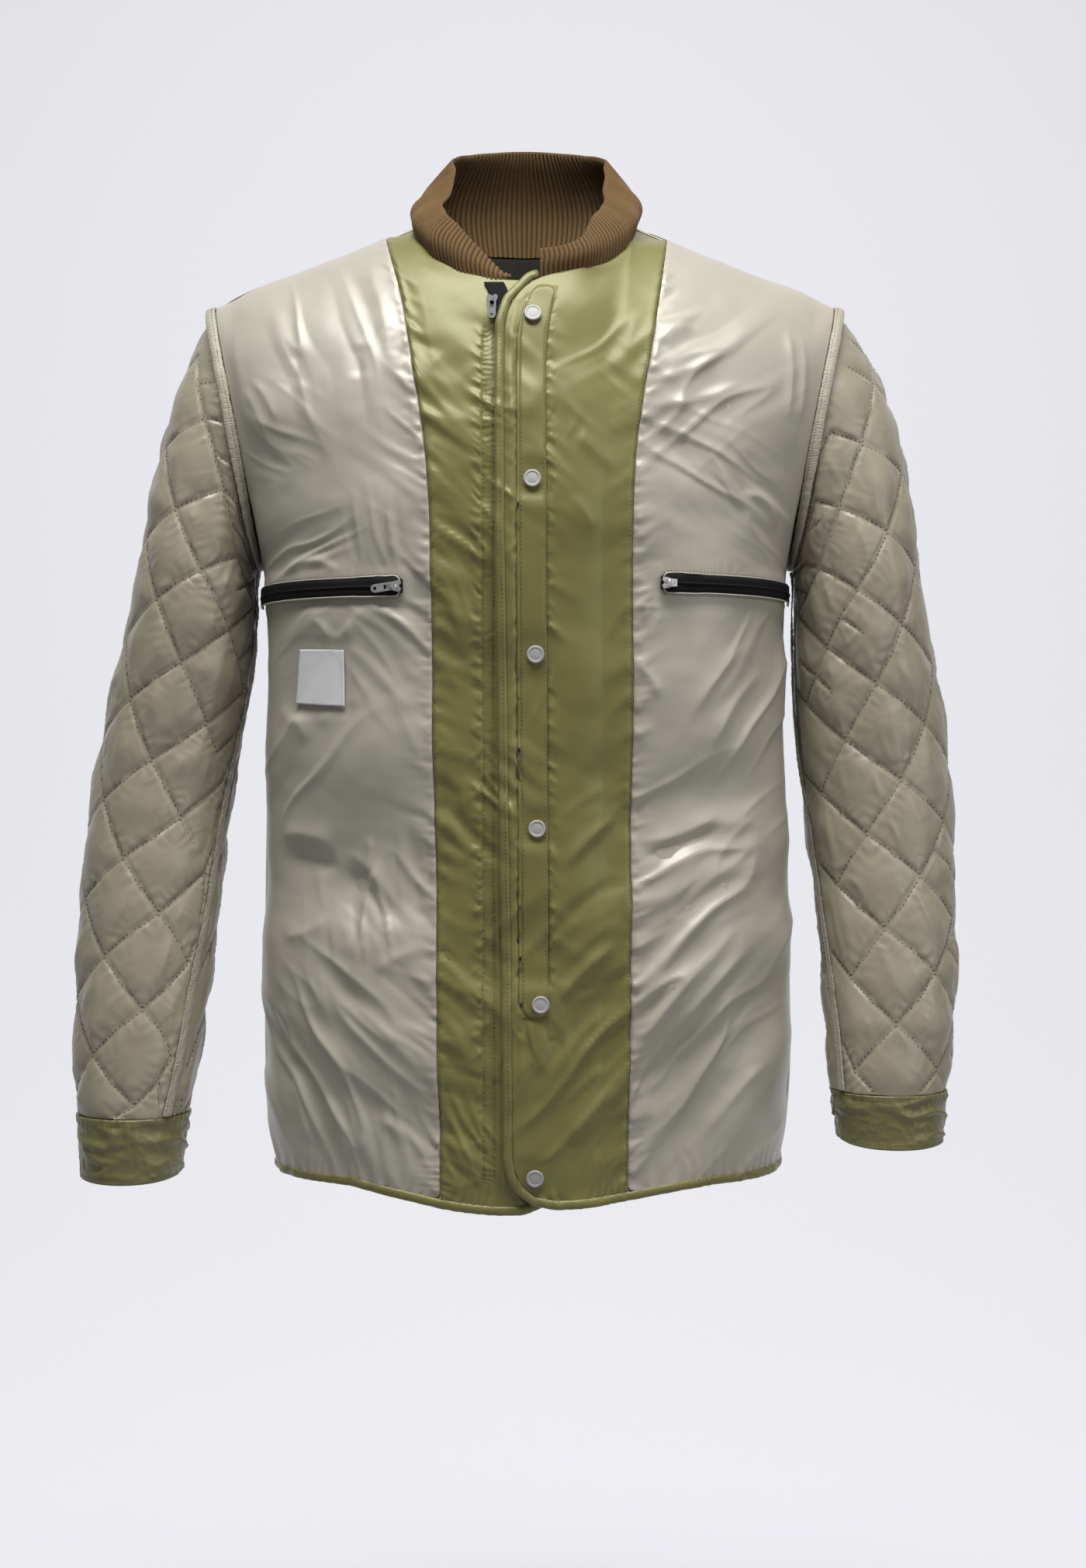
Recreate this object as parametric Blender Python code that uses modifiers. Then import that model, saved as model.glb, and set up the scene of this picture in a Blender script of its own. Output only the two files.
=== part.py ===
"""Quilted jacket turned inside out, in the hollow shape it has when it is worn.

Metres, +Z up, the front faces -Y. The origin is between the two neck points, at the
height where the shoulder seams meet the collar. "right" and "left" are the wearer's:
the right side is at -X. Every cloth piece is a closed wall. Neighbouring pieces stop
SEAM short of each other, and what lies on a panel is made from the panel's own points,
moved outwards.
"""

import math
from collections import namedtuple

import bmesh
import bpy
from mathutils import Matrix, Vector

# Gaps and cloth thickness
SEAM = 0.0003
BODY_WALL = 0.0020
SLEEVE_WALL = 0.0022
COLLAR_WALL = 0.0030
CUFF_WALL = 0.0026

# Driving sizes of the body
HEM = -0.699
HEM_DROP = {-1: 0.0175, 1: 0.0125}
HEM_DROP_HALF = 0.130
UNDERARM = -0.250
NECK_HALF = 0.083
NECK_DROP_FRONT = 0.061
NECK_DROP_BACK = 0.008
NECK_RISE = 0.0125
ARM_OUT = 0.231
CHEST_LEVEL = -0.240
BLADE_LEVEL = -0.200
SECTION_POWER = 2.6
ARM_DEPTH_FRONT = 0.062
ARM_DEPTH_BACK = 0.066
SWAY = 0.0024
BINDING = 0.0058

# Front overlap: positions across the front, positive towards the wearer's left
OVERLAP_EDGE = -0.0100
OVERLAP_CORNER = 0.030
OVERLAP_TOP_CORNER = 0.033
UNDER_EDGE = 0.032
OVERLAP_LIFT = 0.0056
NECK_LIFT = 0.0022
LIFT_FROM, LIFT_TO = 0.062, 0.038

# Rows and columns of the panels
LOWER_ROWS, UPPER_ROWS = 20, 11
CORNER_ROWS = (0.0, 0.0035, 0.0100, 0.0190, 0.0310)
FACING_COLUMNS, PANEL_COLUMNS = 6, 7
BACK_INNER, BACK_OUTER = 4, 6

# Quilting: the two diagonals of a diamond, and the steps of the mesh in one diagonal
STEPS = 4
PUFF = 0.0042
SEAM_BARE = 0.0045
CAP_HEIGHT = 0.165
CAP_LENGTH = 0.236
RING_TOP = -0.290

RIGHT, LEFT = -1, 1
FRONT, BACK = -1, 1
SIDE_NAME = {RIGHT: "right", LEFT: "left"}


class Table:
    """Rows of named columns, read smoothly at any value of the first column."""

    def __init__(self, columns, *rows):
        self.columns = columns.split()
        self.rows = sorted(rows)

    def slope(self, i, k):
        """Slope at row i of column k, limited so that the curve never overshoots."""
        if i in (0, len(self.rows) - 1):
            j = min(i, len(self.rows) - 2)
            return (self.rows[j + 1][k] - self.rows[j][k]) / (self.rows[j + 1][0] - self.rows[j][0])
        before, here, after = self.rows[i - 1:i + 2]
        low = (here[k] - before[k]) / (here[0] - before[0])
        high = (after[k] - here[k]) / (after[0] - here[0])
        return 0.0 if low * high <= 0 else 2 * low * high / (low + high)

    def at(self, key, column):
        k = self.columns.index(column)
        key = min(max(key, self.rows[0][0]), self.rows[-1][0])
        i = max(j for j in range(len(self.rows) - 1) if self.rows[j][0] <= key)
        start, end = self.rows[i], self.rows[i + 1]
        width = end[0] - start[0]
        u = (key - start[0]) / width
        rise_start, rise_end = self.slope(i, k) * width, self.slope(i + 1, k) * width
        return ((2 * u**3 - 3 * u**2 + 1) * start[k] + (u**3 - 2 * u**2 + u) * rise_start
                + (3 * u**2 - 2 * u**3) * end[k] + (u**3 - u**2) * rise_end)


TORSO = Table(
    "z half_width front_depth back_depth",
    (-0.700, 0.1875, 0.1170, 0.1180),
    (-0.675, 0.1932, 0.1200, 0.1210),
    (-0.620, 0.1974, 0.1210, 0.1220),
    (-0.535, 0.1968, 0.1200, 0.1190),
    (-0.445, 0.1953, 0.1185, 0.1150),
    (-0.385, 0.1932, 0.1195, 0.1155),
    (-0.350, 0.1925, 0.1210, 0.1170),
    (-0.300, 0.1938, 0.1240, 0.1210),
    (-0.250, 0.1965, 0.1260, 0.1240),
)

# Height of the shoulder line outside the neck opening
SHOULDER = Table(
    "x z",
    (0.0830, 0.0000),
    (0.0975, -0.0045),
    (0.1150, -0.0125),
    (0.1350, -0.0215),
    (0.1550, -0.0295),
    (0.1750, -0.0358),
    (0.1950, -0.0418),
    (0.2120, -0.0490),
    (0.2310, -0.0600),
)

# Distance of the facing seams from the centre line
FACING_SEAM = Table(
    "z right left",
    (-0.700, 0.0606, 0.0703),
    (-0.540, 0.0620, 0.0728),
    (-0.370, 0.0636, 0.0750),
    (-0.285, 0.0640, 0.0754),
    (-0.215, 0.0655, 0.0755),
    (-0.160, 0.0705, 0.0805),
    (-0.085, 0.0850, 0.0945),
    (-0.005, 0.1055, 0.1067),
)

# Sleeve sections below the cap: outer and inner edge across, middle and half depth
SLEEVES = {
    RIGHT: Table(
        "z outer inner middle half_depth",
        (-0.6570, 0.3280, 0.2460, -0.034, 0.0420),
        (-0.6170, 0.3305, 0.2395, -0.028, 0.0450),
        (-0.5600, 0.3315, 0.2345, -0.018, 0.0490),
        (-0.5000, 0.3310, 0.2275, -0.008, 0.0520),
        (-0.4450, 0.3265, 0.2235, -0.001, 0.0540),
        (-0.3880, 0.3175, 0.2150, 0.003, 0.0560),
        (-0.3400, 0.3075, 0.2060, 0.002, 0.0580),
        (-0.2900, 0.2955, 0.2025, 0.000, 0.0600),
    ),
    LEFT: Table(
        "z outer inner middle half_depth",
        (-0.6400, 0.3090, 0.2245, -0.034, 0.0420),
        (-0.6000, 0.3145, 0.2235, -0.028, 0.0450),
        (-0.5500, 0.3190, 0.2210, -0.018, 0.0490),
        (-0.5000, 0.3200, 0.2170, -0.008, 0.0520),
        (-0.4450, 0.3205, 0.2120, -0.001, 0.0540),
        (-0.3880, 0.3160, 0.2055, 0.003, 0.0560),
        (-0.3400, 0.3090, 0.2030, 0.002, 0.0580),
        (-0.2900, 0.2995, 0.2025, 0.000, 0.0600),
    ),
}
SLEEVE_END = {RIGHT: -0.657, LEFT: -0.640}
CUFF_END = {RIGHT: -0.7000, LEFT: -0.6750}

# How each sleeve leaves the shoulder, and how far its seam turns to the front, in degrees
# at the underarm and at the cuff
CAP_REACH = {RIGHT: 0.50, LEFT: 0.66}
SEAM_TURN = {RIGHT: (0.0, -46.0), LEFT: (8.0, -32.0)}

# Quilting of each sleeve: its diagonals round and along, the place of one crossing, its
# tilt, and its turn towards the cuff in degrees
Quilt = namedtuple("Quilt", "round_step along_step s t tilt turn turn_more")
QUILTS = {
    RIGHT: Quilt(0.0677, 0.0716, 0.0963, 0.2750, 0.34, -41.8, -36.7),
    LEFT: Quilt(0.0654, 0.0705, 0.0953, 0.2905, 0.26, -35.4, -48.9),
}

# Collar: by the angle round the neck from the front, the height of its top edge and how far
# that edge leans towards the neck, on each side, and how far its middle bulges out
COLLAR = Table(
    "angle top_right top_left lean_right lean_left bulge",
    (5, -0.0600, -0.0410, 0.0010, 0.0005, 0.0010),
    (17, -0.0430, -0.0365, 0.0090, 0.0015, 0.0030),
    (26, -0.0290, -0.0280, 0.0105, 0.0060, 0.0050),
    (38, -0.0110, -0.0080, 0.0125, 0.0175, 0.0080),
    (58, 0.0090, 0.0100, 0.0215, 0.0245, 0.0110),
    (90, 0.0380, 0.0410, 0.0280, 0.0215, 0.0145),
    (118, 0.0635, 0.0635, 0.0190, 0.0145, 0.0155),
    (150, 0.0685, 0.0685, 0.0160, 0.0150, 0.0115),
    (180, 0.0695, 0.0695, 0.0150, 0.0150, 0.0090),
)
COLLAR_ROWS = 6
COLLAR_FOOT = 0.0009
COLLAR_ROLL = 1.1
COLLAR_RIGHT_END, COLLAR_LEFT_END = 0.0095, 0.0110

# The largest folds: centre across and in height, length, angle from level, half width, height
Fold = namedtuple("Fold", "side x z length angle width height")
FOLDS = (
    Fold(RIGHT, 0.135, -0.150, 0.110, 70, 0.016, 0.0030),
    Fold(RIGHT, 0.165, -0.215, 0.090, 50, 0.014, -0.0030),
    Fold(RIGHT, 0.125, -0.410, 0.130, -28, 0.018, 0.0034),
    Fold(RIGHT, 0.150, -0.455, 0.110, -35, 0.015, -0.0030),
    Fold(RIGHT, 0.110, -0.520, 0.150, -42, 0.018, 0.0034),
    Fold(RIGHT, 0.150, -0.590, 0.130, -60, 0.016, -0.0030),
    Fold(RIGHT, 0.095, -0.610, 0.110, -50, 0.015, 0.0030),
    Fold(LEFT, 0.150, -0.130, 0.110, 65, 0.016, 0.0030),
    Fold(LEFT, 0.160, -0.205, 0.100, 40, 0.014, -0.0030),
    Fold(LEFT, 0.135, -0.400, 0.120, 30, 0.018, 0.0030),
    Fold(LEFT, 0.125, -0.470, 0.140, 38, 0.017, -0.0032),
    Fold(LEFT, 0.135, -0.540, 0.150, 45, 0.018, 0.0034),
    Fold(LEFT, 0.115, -0.610, 0.140, 52, 0.016, -0.0030),
    Fold(LEFT, 0.155, -0.630, 0.110, 56, 0.015, 0.0030),
)

# Fastenings
ZIP_LEVEL = {RIGHT: -0.2800, LEFT: -0.2775}
ZIP_START = {RIGHT: 0.0835, LEFT: 0.0945}
ZIP_HALF = 0.0062
ZIP_THICK = 0.0011
ZIP_COLUMNS = 12
ZIP_TAPE = 0.0140
STRIP_LEFT, STRIP_RIGHT = -0.0032, 0.0155
STRIP_BOTTOM, STRIP_THICK = -0.578, 0.0010
SNAP_RADIUS = 0.0061
SNAPS = ((0.0063, -0.0925), (0.0060, -0.2080), (0.0078, -0.3275),
         (0.0082, -0.4479), (0.0100, -0.5690), (0.0055, -0.6880))
LABEL_CORNERS = ((-0.1582, -0.3217), (-0.1259, -0.3233), (-0.1253, -0.3630), (-0.1617, -0.3600))
LABEL_THICK = 0.0008


def clamp(value, low=0.0, high=1.0):
    return min(max(value, low), high)


def mix(a, b, share):
    return a + (b - a) * share


def quarter(u, power):
    """Height of a quarter superellipse at u, from 1 at its crown to 0 at its end."""
    return max(0.0, 1.0 - abs(u) ** power) ** (1.0 / power)


def signed_power(value, power):
    return math.copysign(abs(value) ** power, value)


# Shape of the body

def shoulder_ridge(x):
    """Height of the shoulder line, which runs on smoothly over the neck opening."""
    if abs(x) < NECK_HALF:
        return NECK_RISE * (1 - (x / NECK_HALF) ** 2)
    return SHOULDER.at(abs(x), "z")


ARM_TOP = shoulder_ridge(ARM_OUT)
ARM_MID = (ARM_TOP + UNDERARM) / 2
ARM_HALF = (ARM_TOP - UNDERARM) / 2


def armhole_x(z):
    share = clamp((z - UNDERARM) / (ARM_TOP - UNDERARM))
    inner = TORSO.at(UNDERARM, "half_width")
    return inner + (ARM_OUT - inner) * share**1.5


def outline_x(z):
    """Half width of the body seen from the front: side seam, then armhole."""
    return TORSO.at(z, "half_width") if z <= UNDERARM else armhole_x(z)


def rise(x, z, way):
    """Share of the full depth that is left at height z, where the body rounds to the shoulder."""
    level = CHEST_LEVEL if way == FRONT else BLADE_LEVEL
    if z <= level:
        return 1.0
    return math.sqrt(max(0.0, 1.0 - ((z - level) / (shoulder_ridge(x) - level)) ** 2))


def full_depth(x, z, way):
    column = "front_depth" if way == FRONT else "back_depth"
    return TORSO.at(z, column) * rise(x, z, way)


def section_width(z, way):
    """Half width of the section at z, widened above the underarm so that it meets the armhole."""
    edge = outline_x(z)
    if z <= UNDERARM:
        return edge
    arm_depth = ARM_DEPTH_FRONT if way == FRONT else ARM_DEPTH_BACK
    reach = math.sqrt(max(0.0, 1.0 - ((z - ARM_MID) / ARM_HALF) ** 2))
    deep = full_depth(edge, z, way)
    level = CHEST_LEVEL if way == FRONT else BLADE_LEVEL
    chest = full_depth(edge, level, way)
    share = arm_depth / chest * math.sqrt((ARM_TOP - level) / ARM_HALF)
    if deep > 1e-3:
        share = arm_depth * reach / deep
    share = min(share, 0.90)
    return edge / (1.0 - share**SECTION_POWER) ** (1.0 / SECTION_POWER)


def sway(z):
    """The lower body hangs slightly to the wearer's left."""
    return SWAY * clamp((UNDERARM - z) / (UNDERARM - HEM))


def body_point(x, z, way):
    deep = full_depth(x, z, way) * quarter(x / section_width(z, way), SECTION_POWER)
    return Vector((x + sway(z), way * max(deep, SEAM / 2), z))


def neck_height(x, way):
    drop = NECK_DROP_FRONT if way == FRONT else NECK_DROP_BACK
    return -drop * math.sqrt(max(0.0, 1.0 - abs(x / NECK_HALF) ** 2.4))


def top_height(x, way):
    return neck_height(x, way) if abs(x) < NECK_HALF else shoulder_ridge(x)


def hem_height(side, x):
    """The hem hangs lower at the centre front, and rises again where the under side ends."""
    drop = HEM_DROP[side] * max(0.0, 1.0 - (x / HEM_DROP_HALF) ** 2) ** 1.5
    under = 0.012 * clamp((0.012 - x) / 0.032) ** 2 if side == RIGHT else 0.0
    return HEM - drop + under


def lower_height(hem, row):
    """Height of a row between the hem and the underarm, closer together at the rounded corner."""
    start = hem + BINDING
    last = len(CORNER_ROWS) - 1
    if row <= last:
        return start + CORNER_ROWS[row]
    return mix(start + CORNER_ROWS[last], UNDERARM, (row - last) / (LOWER_ROWS - last))


def arc_share(x, width):
    return math.asin(clamp(abs(x) / width) ** (SECTION_POWER / 2)) * math.copysign(1, x)


def arc_x(angle, width):
    return width * signed_power(math.sin(angle), 2 / SECTION_POWER)


# Grids of panel points, row 0 at the hem

def overlap_edge(z):
    """Edge of the overlap, with its rounded corners at the hem and at the neck."""
    x = OVERLAP_EDGE - 0.004 * clamp((z + 0.60) / 0.50)
    low = hem_height(LEFT, x) + BINDING + OVERLAP_CORNER - z
    if low > 0:
        low = min(low, OVERLAP_CORNER)
        x += OVERLAP_CORNER - math.sqrt(OVERLAP_CORNER**2 - low**2)
    high = z - (neck_height(0, FRONT) - BINDING - OVERLAP_TOP_CORNER)
    if high > 0:
        high = min(high, OVERLAP_TOP_CORNER)
        x += 0.6 * (OVERLAP_TOP_CORNER - math.sqrt(OVERLAP_TOP_CORNER**2 - high**2))
    return x


def facing_inner(side, z):
    return overlap_edge(z) if side == LEFT else -UNDER_EDGE


def facing_seam(side, z):
    return FACING_SEAM.at(z, SIDE_NAME[side])


def seam_height(side, row):
    """Height of the facing seam at a row, which ends on the shoulder line."""
    if row <= LOWER_ROWS:
        return lower_height(hem_height(side, facing_seam(side, HEM)), row)
    up = (row - LOWER_ROWS) / UPPER_ROWS
    top = 0.0
    for _ in range(8):
        top = shoulder_ridge(facing_seam(side, top))
    return mix(UNDERARM, top, math.sin(up * math.pi / 2))


def inner_height(side, row):
    if row <= LOWER_ROWS:
        return lower_height(hem_height(side, facing_inner(side, HEM)), row)
    return mix(UNDERARM, neck_height(0, FRONT), (row - LOWER_ROWS) / UPPER_ROWS)


def facing_shares(side):
    """Column places across a facing, the last but one at the neck point, the last at the seam."""
    last = LOWER_ROWS + UPPER_ROWS
    inner = facing_inner(side, inner_height(side, last))
    seam = facing_seam(side, seam_height(side, last))
    first = math.asin(inner / NECK_HALF)
    shares = []
    for k in range(FACING_COLUMNS + 1):
        x = NECK_HALF * math.sin(mix(first, math.pi / 2, k / FACING_COLUMNS))
        shares.append((x - inner) / (seam - inner))
    return shares + [1.0]


def settle(height_of, across_of, x):
    """Height and place across of a grid point, where each depends on the other."""
    z = height_of(x)
    for _ in range(6):
        x = across_of(z)
        z = height_of(x)
    return x, z


def facing_place(side, share, row):
    inner = facing_inner(side, inner_height(side, row))
    x = mix(inner, facing_seam(side, seam_height(side, row)), share)
    if row <= LOWER_ROWS:
        return x, lower_height(hem_height(side, x), row)
    up = (row - LOWER_ROWS) / UPPER_ROWS
    top = 0.0 if abs(x - NECK_HALF) < 1e-5 else top_height(x, FRONT)
    if side == LEFT:
        top -= 0.0030 * clamp((0.022 - x) / 0.010)
    return x, mix(UNDERARM, top, mix(up, math.sin(up * math.pi / 2), share))


def outer_height(x, row, share, inner_top, way, hem):
    """Height of a point between the facing seam or centre, at share 0, and the armhole, at 1."""
    if row <= LOWER_ROWS:
        return lower_height(hem, row)
    up = (row - LOWER_ROWS) / UPPER_ROWS
    inner = mix(UNDERARM, inner_top, math.sin(up * math.pi / 2))
    outer = ARM_MID - ARM_HALF * math.cos(math.pi * up)
    level = mix(inner, outer, share)
    return level + up * up * (top_height(x, way) - mix(inner_top, ARM_TOP, share))


def panel_place(side, share, row):
    def across(z):
        width = section_width(z, FRONT)
        start = arc_share(facing_seam(side, z), width)
        end = arc_share(outline_x(z), width)
        return arc_x(mix(start, end, share), width)

    def height(x):
        return outer_height(x, row, share, inner_top, FRONT, hem_height(side, x))

    inner_top = shoulder_ridge(facing_seam(side, 0))
    return settle(height, across, 0.12)


def back_place(share, row):
    def across(z):
        width = section_width(z, BACK)
        return arc_x(share * arc_share(outline_x(z), width), width)

    inner_top = neck_height(0, BACK)
    return settle(lambda x: outer_height(x, row, abs(share), inner_top, BACK, HEM), across, share * 0.15)


def fold_height(side, x, z):
    """Sum of the folds at a place on a front panel, held off the pocket zips and the label."""
    total = 0.0
    for fold in FOLDS:
        if fold.side != side:
            continue
        angle = math.radians(fold.angle)
        dx, dz = x - fold.x, z - fold.z
        along = (dx * math.cos(angle) + dz * math.sin(angle)) / (fold.length / 2)
        across = (dz * math.cos(angle) - dx * math.sin(angle)) / fold.width
        if abs(along) < 1:
            total += fold.height * math.cos(along * math.pi / 2) ** 2 * math.exp(-across * across)
    zip_clear = clamp((abs(z - ZIP_LEVEL[side]) - 0.014) / 0.020)
    label_clear = 1.0 if side == LEFT else clamp((abs(z + 0.342) - 0.024) / 0.020)
    return total * zip_clear * max(label_clear, clamp((0.118 - x) / 0.010))


def lift_height(x, z):
    """How far the overlap stands out over the under side and its zip."""
    share = clamp((LIFT_FROM - x) / (LIFT_FROM - LIFT_TO))
    share = share * share * (3 - 2 * share)
    return share * (OVERLAP_LIFT + NECK_LIFT * clamp((z + 0.130) / 0.050))


def grid_normals(grid, away, wrap=False):
    """Outward normals of a grid of points by central differences; away(p) points outwards."""
    rows, columns = len(grid), len(grid[0])
    normals = []
    for i in range(rows):
        line = []
        for j in range(columns):
            up = grid[min(i + 1, rows - 1)][j] - grid[max(i - 1, 0)][j]
            if wrap:
                over = grid[i][(j + 1) % columns] - grid[i][(j - 1) % columns]
            else:
                over = grid[i][min(j + 1, columns - 1)] - grid[i][max(j - 1, 0)]
            normal = up.cross(over).normalized()
            if normal.dot(away(grid[i][j])) < 0:
                normal.negate()
            line.append(normal)
        normals.append(line)
    return normals


def flatten_seams(normals, sides):
    """Side and shoulder seams lie in the plane y = 0, so the walls end square to it there."""
    last = len(normals) - 1
    marked = [(last, j) for j in range(len(normals[0]))]
    marked += [(i, j) for i in range(LOWER_ROWS + 1) for j in sides]
    for i, j in marked:
        normals[i][j].y = 0.0
        normals[i][j].normalize()


def body_away(point):
    return Vector((point.x, point.y * 2.0, (point.z + 0.12) * clamp((point.z + 0.12) / 0.05)))


Front = namedtuple("Front", "points normals places seam")
Back = namedtuple("Back", "points normals places neck")


def front_grid(side):
    """One half of the front: facing columns, the facing seam, then panel columns."""
    shares = facing_shares(side)
    places = []
    for row in range(LOWER_ROWS + UPPER_ROWS + 1):
        line = [facing_place(side, share, row) for share in shares]
        line += [panel_place(side, k / PANEL_COLUMNS, row) for k in range(1, PANEL_COLUMNS + 1)]
        places.append(line)
    points = [[body_point(side * x, z, FRONT) for x, z in line] for line in places]
    normals = grid_normals(points, body_away)
    neck = FACING_COLUMNS
    saved = [normals[-1][j].copy() for j in range(neck)]
    flatten_seams(normals, [-1])
    normals[-1][:neck] = saved
    return Front(points, normals, places, len(shares) - 1)


def back_grid():
    width = section_width(0, BACK)
    full = arc_share(ARM_OUT, width)
    inner = [NECK_HALF * math.sin(math.pi / 2 * k / BACK_INNER) for k in range(BACK_INNER + 1)]
    half = [arc_share(x, width) / full for x in inner]
    half += [mix(half[-1], 1.0, k / BACK_OUTER) for k in range(1, BACK_OUTER + 1)]
    shares = [-s for s in reversed(half[1:])] + half
    places = [[back_place(share, row) for share in shares]
              for row in range(LOWER_ROWS + UPPER_ROWS + 1)]
    points = [[body_point(x, z, BACK) for x, z in line] for line in places]
    normals = grid_normals(points, body_away)
    neck = range(BACK_OUTER + 1, BACK_OUTER + 2 * BACK_INNER)
    saved = {j: normals[-1][j].copy() for j in neck}
    flatten_seams(normals, [0, -1])
    for j, normal in saved.items():
        normals[-1][j] = normal
    return Back(points, normals, places, (BACK_OUTER, BACK_OUTER + 2 * BACK_INNER))


# Mesh makers

def new_object(name, mesh, material):
    piece = bpy.data.objects.new(name, mesh)
    piece.data.materials.append(material)
    bpy.data.collections["Quilted jacket"].objects.link(piece)
    return piece


def finish_mesh(name, bm, smooth_angle=35):
    bmesh.ops.recalc_face_normals(bm, faces=bm.faces)
    mesh = bpy.data.meshes.new(name)
    bm.to_mesh(mesh)
    bm.free()
    mesh.shade_smooth()
    mesh.set_sharp_from_angle(angle=math.radians(smooth_angle))
    return mesh


def add_quad(bm, corners, turn=None):
    """A quad as two triangles, cut along its shorter diagonal unless turn says which."""
    a, b, c, d = corners
    if turn is None:
        turn = (b.co - d.co).length < (a.co - c.co).length
    first, second = ((a, b, d), (b, c, d)) if turn else ((a, b, c), (a, c, d))
    bm.faces.new(first)
    bm.faces.new(second)


def lace(bm, first, second):
    """Triangles between two lines of corners, each across the shorter gap."""
    i = j = 0
    while i < len(first) - 1 or j < len(second) - 1:
        if j == len(second) - 1:
            take_first = True
        elif i == len(first) - 1:
            take_first = False
        else:
            gap = (first[i + 1].co - second[j].co).length
            take_first = gap < (first[i].co - second[j + 1].co).length
        if take_first:
            bm.faces.new((first[i], first[i + 1], second[j]))
            i += 1
        else:
            bm.faces.new((first[i], second[j + 1], second[j]))
            j += 1


def wall(name, outer, inner, material, tube=False, turn=None):
    """Closed wall between two grids of points with equal columns.

    A tube joins its last column to its first, and its two grids may have different rows.
    """
    bm = bmesh.new()
    skins = [[[bm.verts.new(p) for p in row] for row in grid] for grid in (outer, inner)]
    columns = len(outer[0])
    spans = columns if tube else columns - 1
    for number, skin in enumerate(skins):
        for i in range(len(skin) - 1):
            for j in range(columns - 1):
                corners = (skin[i][j], skin[i + 1][j], skin[i + 1][j + 1], skin[i][j + 1])
                add_quad(bm, corners, turn(i, j) if turn and number == 0 else None)
        if tube:
            lace(bm, [row[-1] for row in skin], [row[0] for row in skin])
    for end in (0, -1):
        for j in range(spans):
            k = (j + 1) % columns
            add_quad(bm, (skins[0][end][j], skins[0][end][k], skins[1][end][k], skins[1][end][j]))
    if not tube:
        for end in (0, -1):
            for i in range(len(outer) - 1):
                add_quad(bm, (skins[0][i][end], skins[0][i + 1][end],
                              skins[1][i + 1][end], skins[1][i][end]))
    return new_object(name, finish_mesh(name, bm), material)


Frame = namedtuple("Frame", "point side up")


def strip(name, frames, section, material, loop=False):
    """A band along a path; section lists (sideways, upwards) places round its outline."""
    bm = bmesh.new()
    rings = [[bm.verts.new(f.point + f.side * s + f.up * u) for s, u in section] for f in frames]
    spans = len(rings) if loop else len(rings) - 1
    count = len(section)
    for i in range(spans):
        near, far = rings[i], rings[(i + 1) % len(rings)]
        for j in range(count):
            k = (j + 1) % count
            add_quad(bm, (near[j], far[j], far[k], near[k]))
    if not loop:
        bm.faces.new(rings[0])
        bm.faces.new(rings[-1])
    return new_object(name, finish_mesh(name, bm), material)


def path_frames(points, ups, outwards):
    """Frames along a path: up is the cloth's normal, side points off the cloth's edge."""
    frames = []
    last = len(points) - 1
    for i, point in enumerate(points):
        run = (points[min(i + 1, last)] - points[max(i - 1, 0)]).normalized()
        up = (ups[i] - run * ups[i].dot(run)).normalized()
        side = run.cross(up)
        if side.dot(outwards[i]) < 0:
            side.negate()
        frames.append(Frame(point, side, up))
    return frames


def offset(points, normals, amount):
    return [[p + n * amount for p, n in zip(row, line)] for row, line in zip(points, normals)]


def make_material(name, colour, roughness, metallic=0.0):
    material = bpy.data.materials.new(name)
    material.use_nodes = True
    shader = material.node_tree.nodes["Principled BSDF"]
    shader.inputs["Base Color"].default_value = (*colour, 1.0)
    shader.inputs["Roughness"].default_value = roughness
    shader.inputs["Metallic"].default_value = metallic
    return material


# Body pieces

def shift_column(points, column, amount):
    """Moves one column of a grid across by amount, to leave half of a seam's gap."""
    for row in points:
        row[column] = row[column] + Vector((amount, 0, 0))


def make_front(side, front, lifts, facing_material, panel_material):
    """The facing and the panel of one half of the front."""
    name = SIDE_NAME[side]
    seam = front.seam
    facing_outer = [[p + n * h for p, n, h in zip(*rows)] for rows in
                    zip(front.points, front.normals, lifts)]
    facing = [row[:seam + 1] for row in facing_outer]
    normals = [row[:seam + 1] for row in front.normals]
    shift_column(facing, seam, -side * SEAM / 2)
    wall(f"facing_{name}", facing, offset(facing, normals, -BODY_WALL), facing_material)
    plain = [row[seam:] for row in front.points]
    normals = [row[seam:] for row in front.normals]
    shift_column(plain, 0, side * SEAM / 2)
    panel = []
    last = len(plain) - 1
    for i, row in enumerate(plain):
        inside = clamp(min(i, last - i) / 2)
        line = []
        for j, point in enumerate(row):
            x, z = front.places[i][seam + j]
            hold = inside if 0 < j < len(row) - 1 else 0.0
            line.append(point + normals[i][j] * fold_height(side, x, z) * hold)
        panel.append(line)
    wall(f"front_{name}", panel, offset(panel, normals, -BODY_WALL), panel_material)


def front_lifts(side, front):
    if side == RIGHT:
        return [[0.0] * len(row) for row in front.points]
    return [[lift_height(x, z) for x, z in row] for row in front.places]


def surface(front, side, x, z, extra=0.0):
    """Point on one half of the front at a place across (positive to the left), and its normal."""
    step = 0.003
    point = body_point(x, z, FRONT)
    right = body_point(x + step, z, FRONT) - body_point(x - step, z, FRONT)
    up = body_point(x, z + step, FRONT) - body_point(x, z - step, FRONT)
    normal = up.cross(right).normalized()
    if normal.y > 0:
        normal.negate()
    lift = lift_height(x, z) if side == LEFT else 0.0
    return point + normal * (lift + extra), normal


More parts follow.
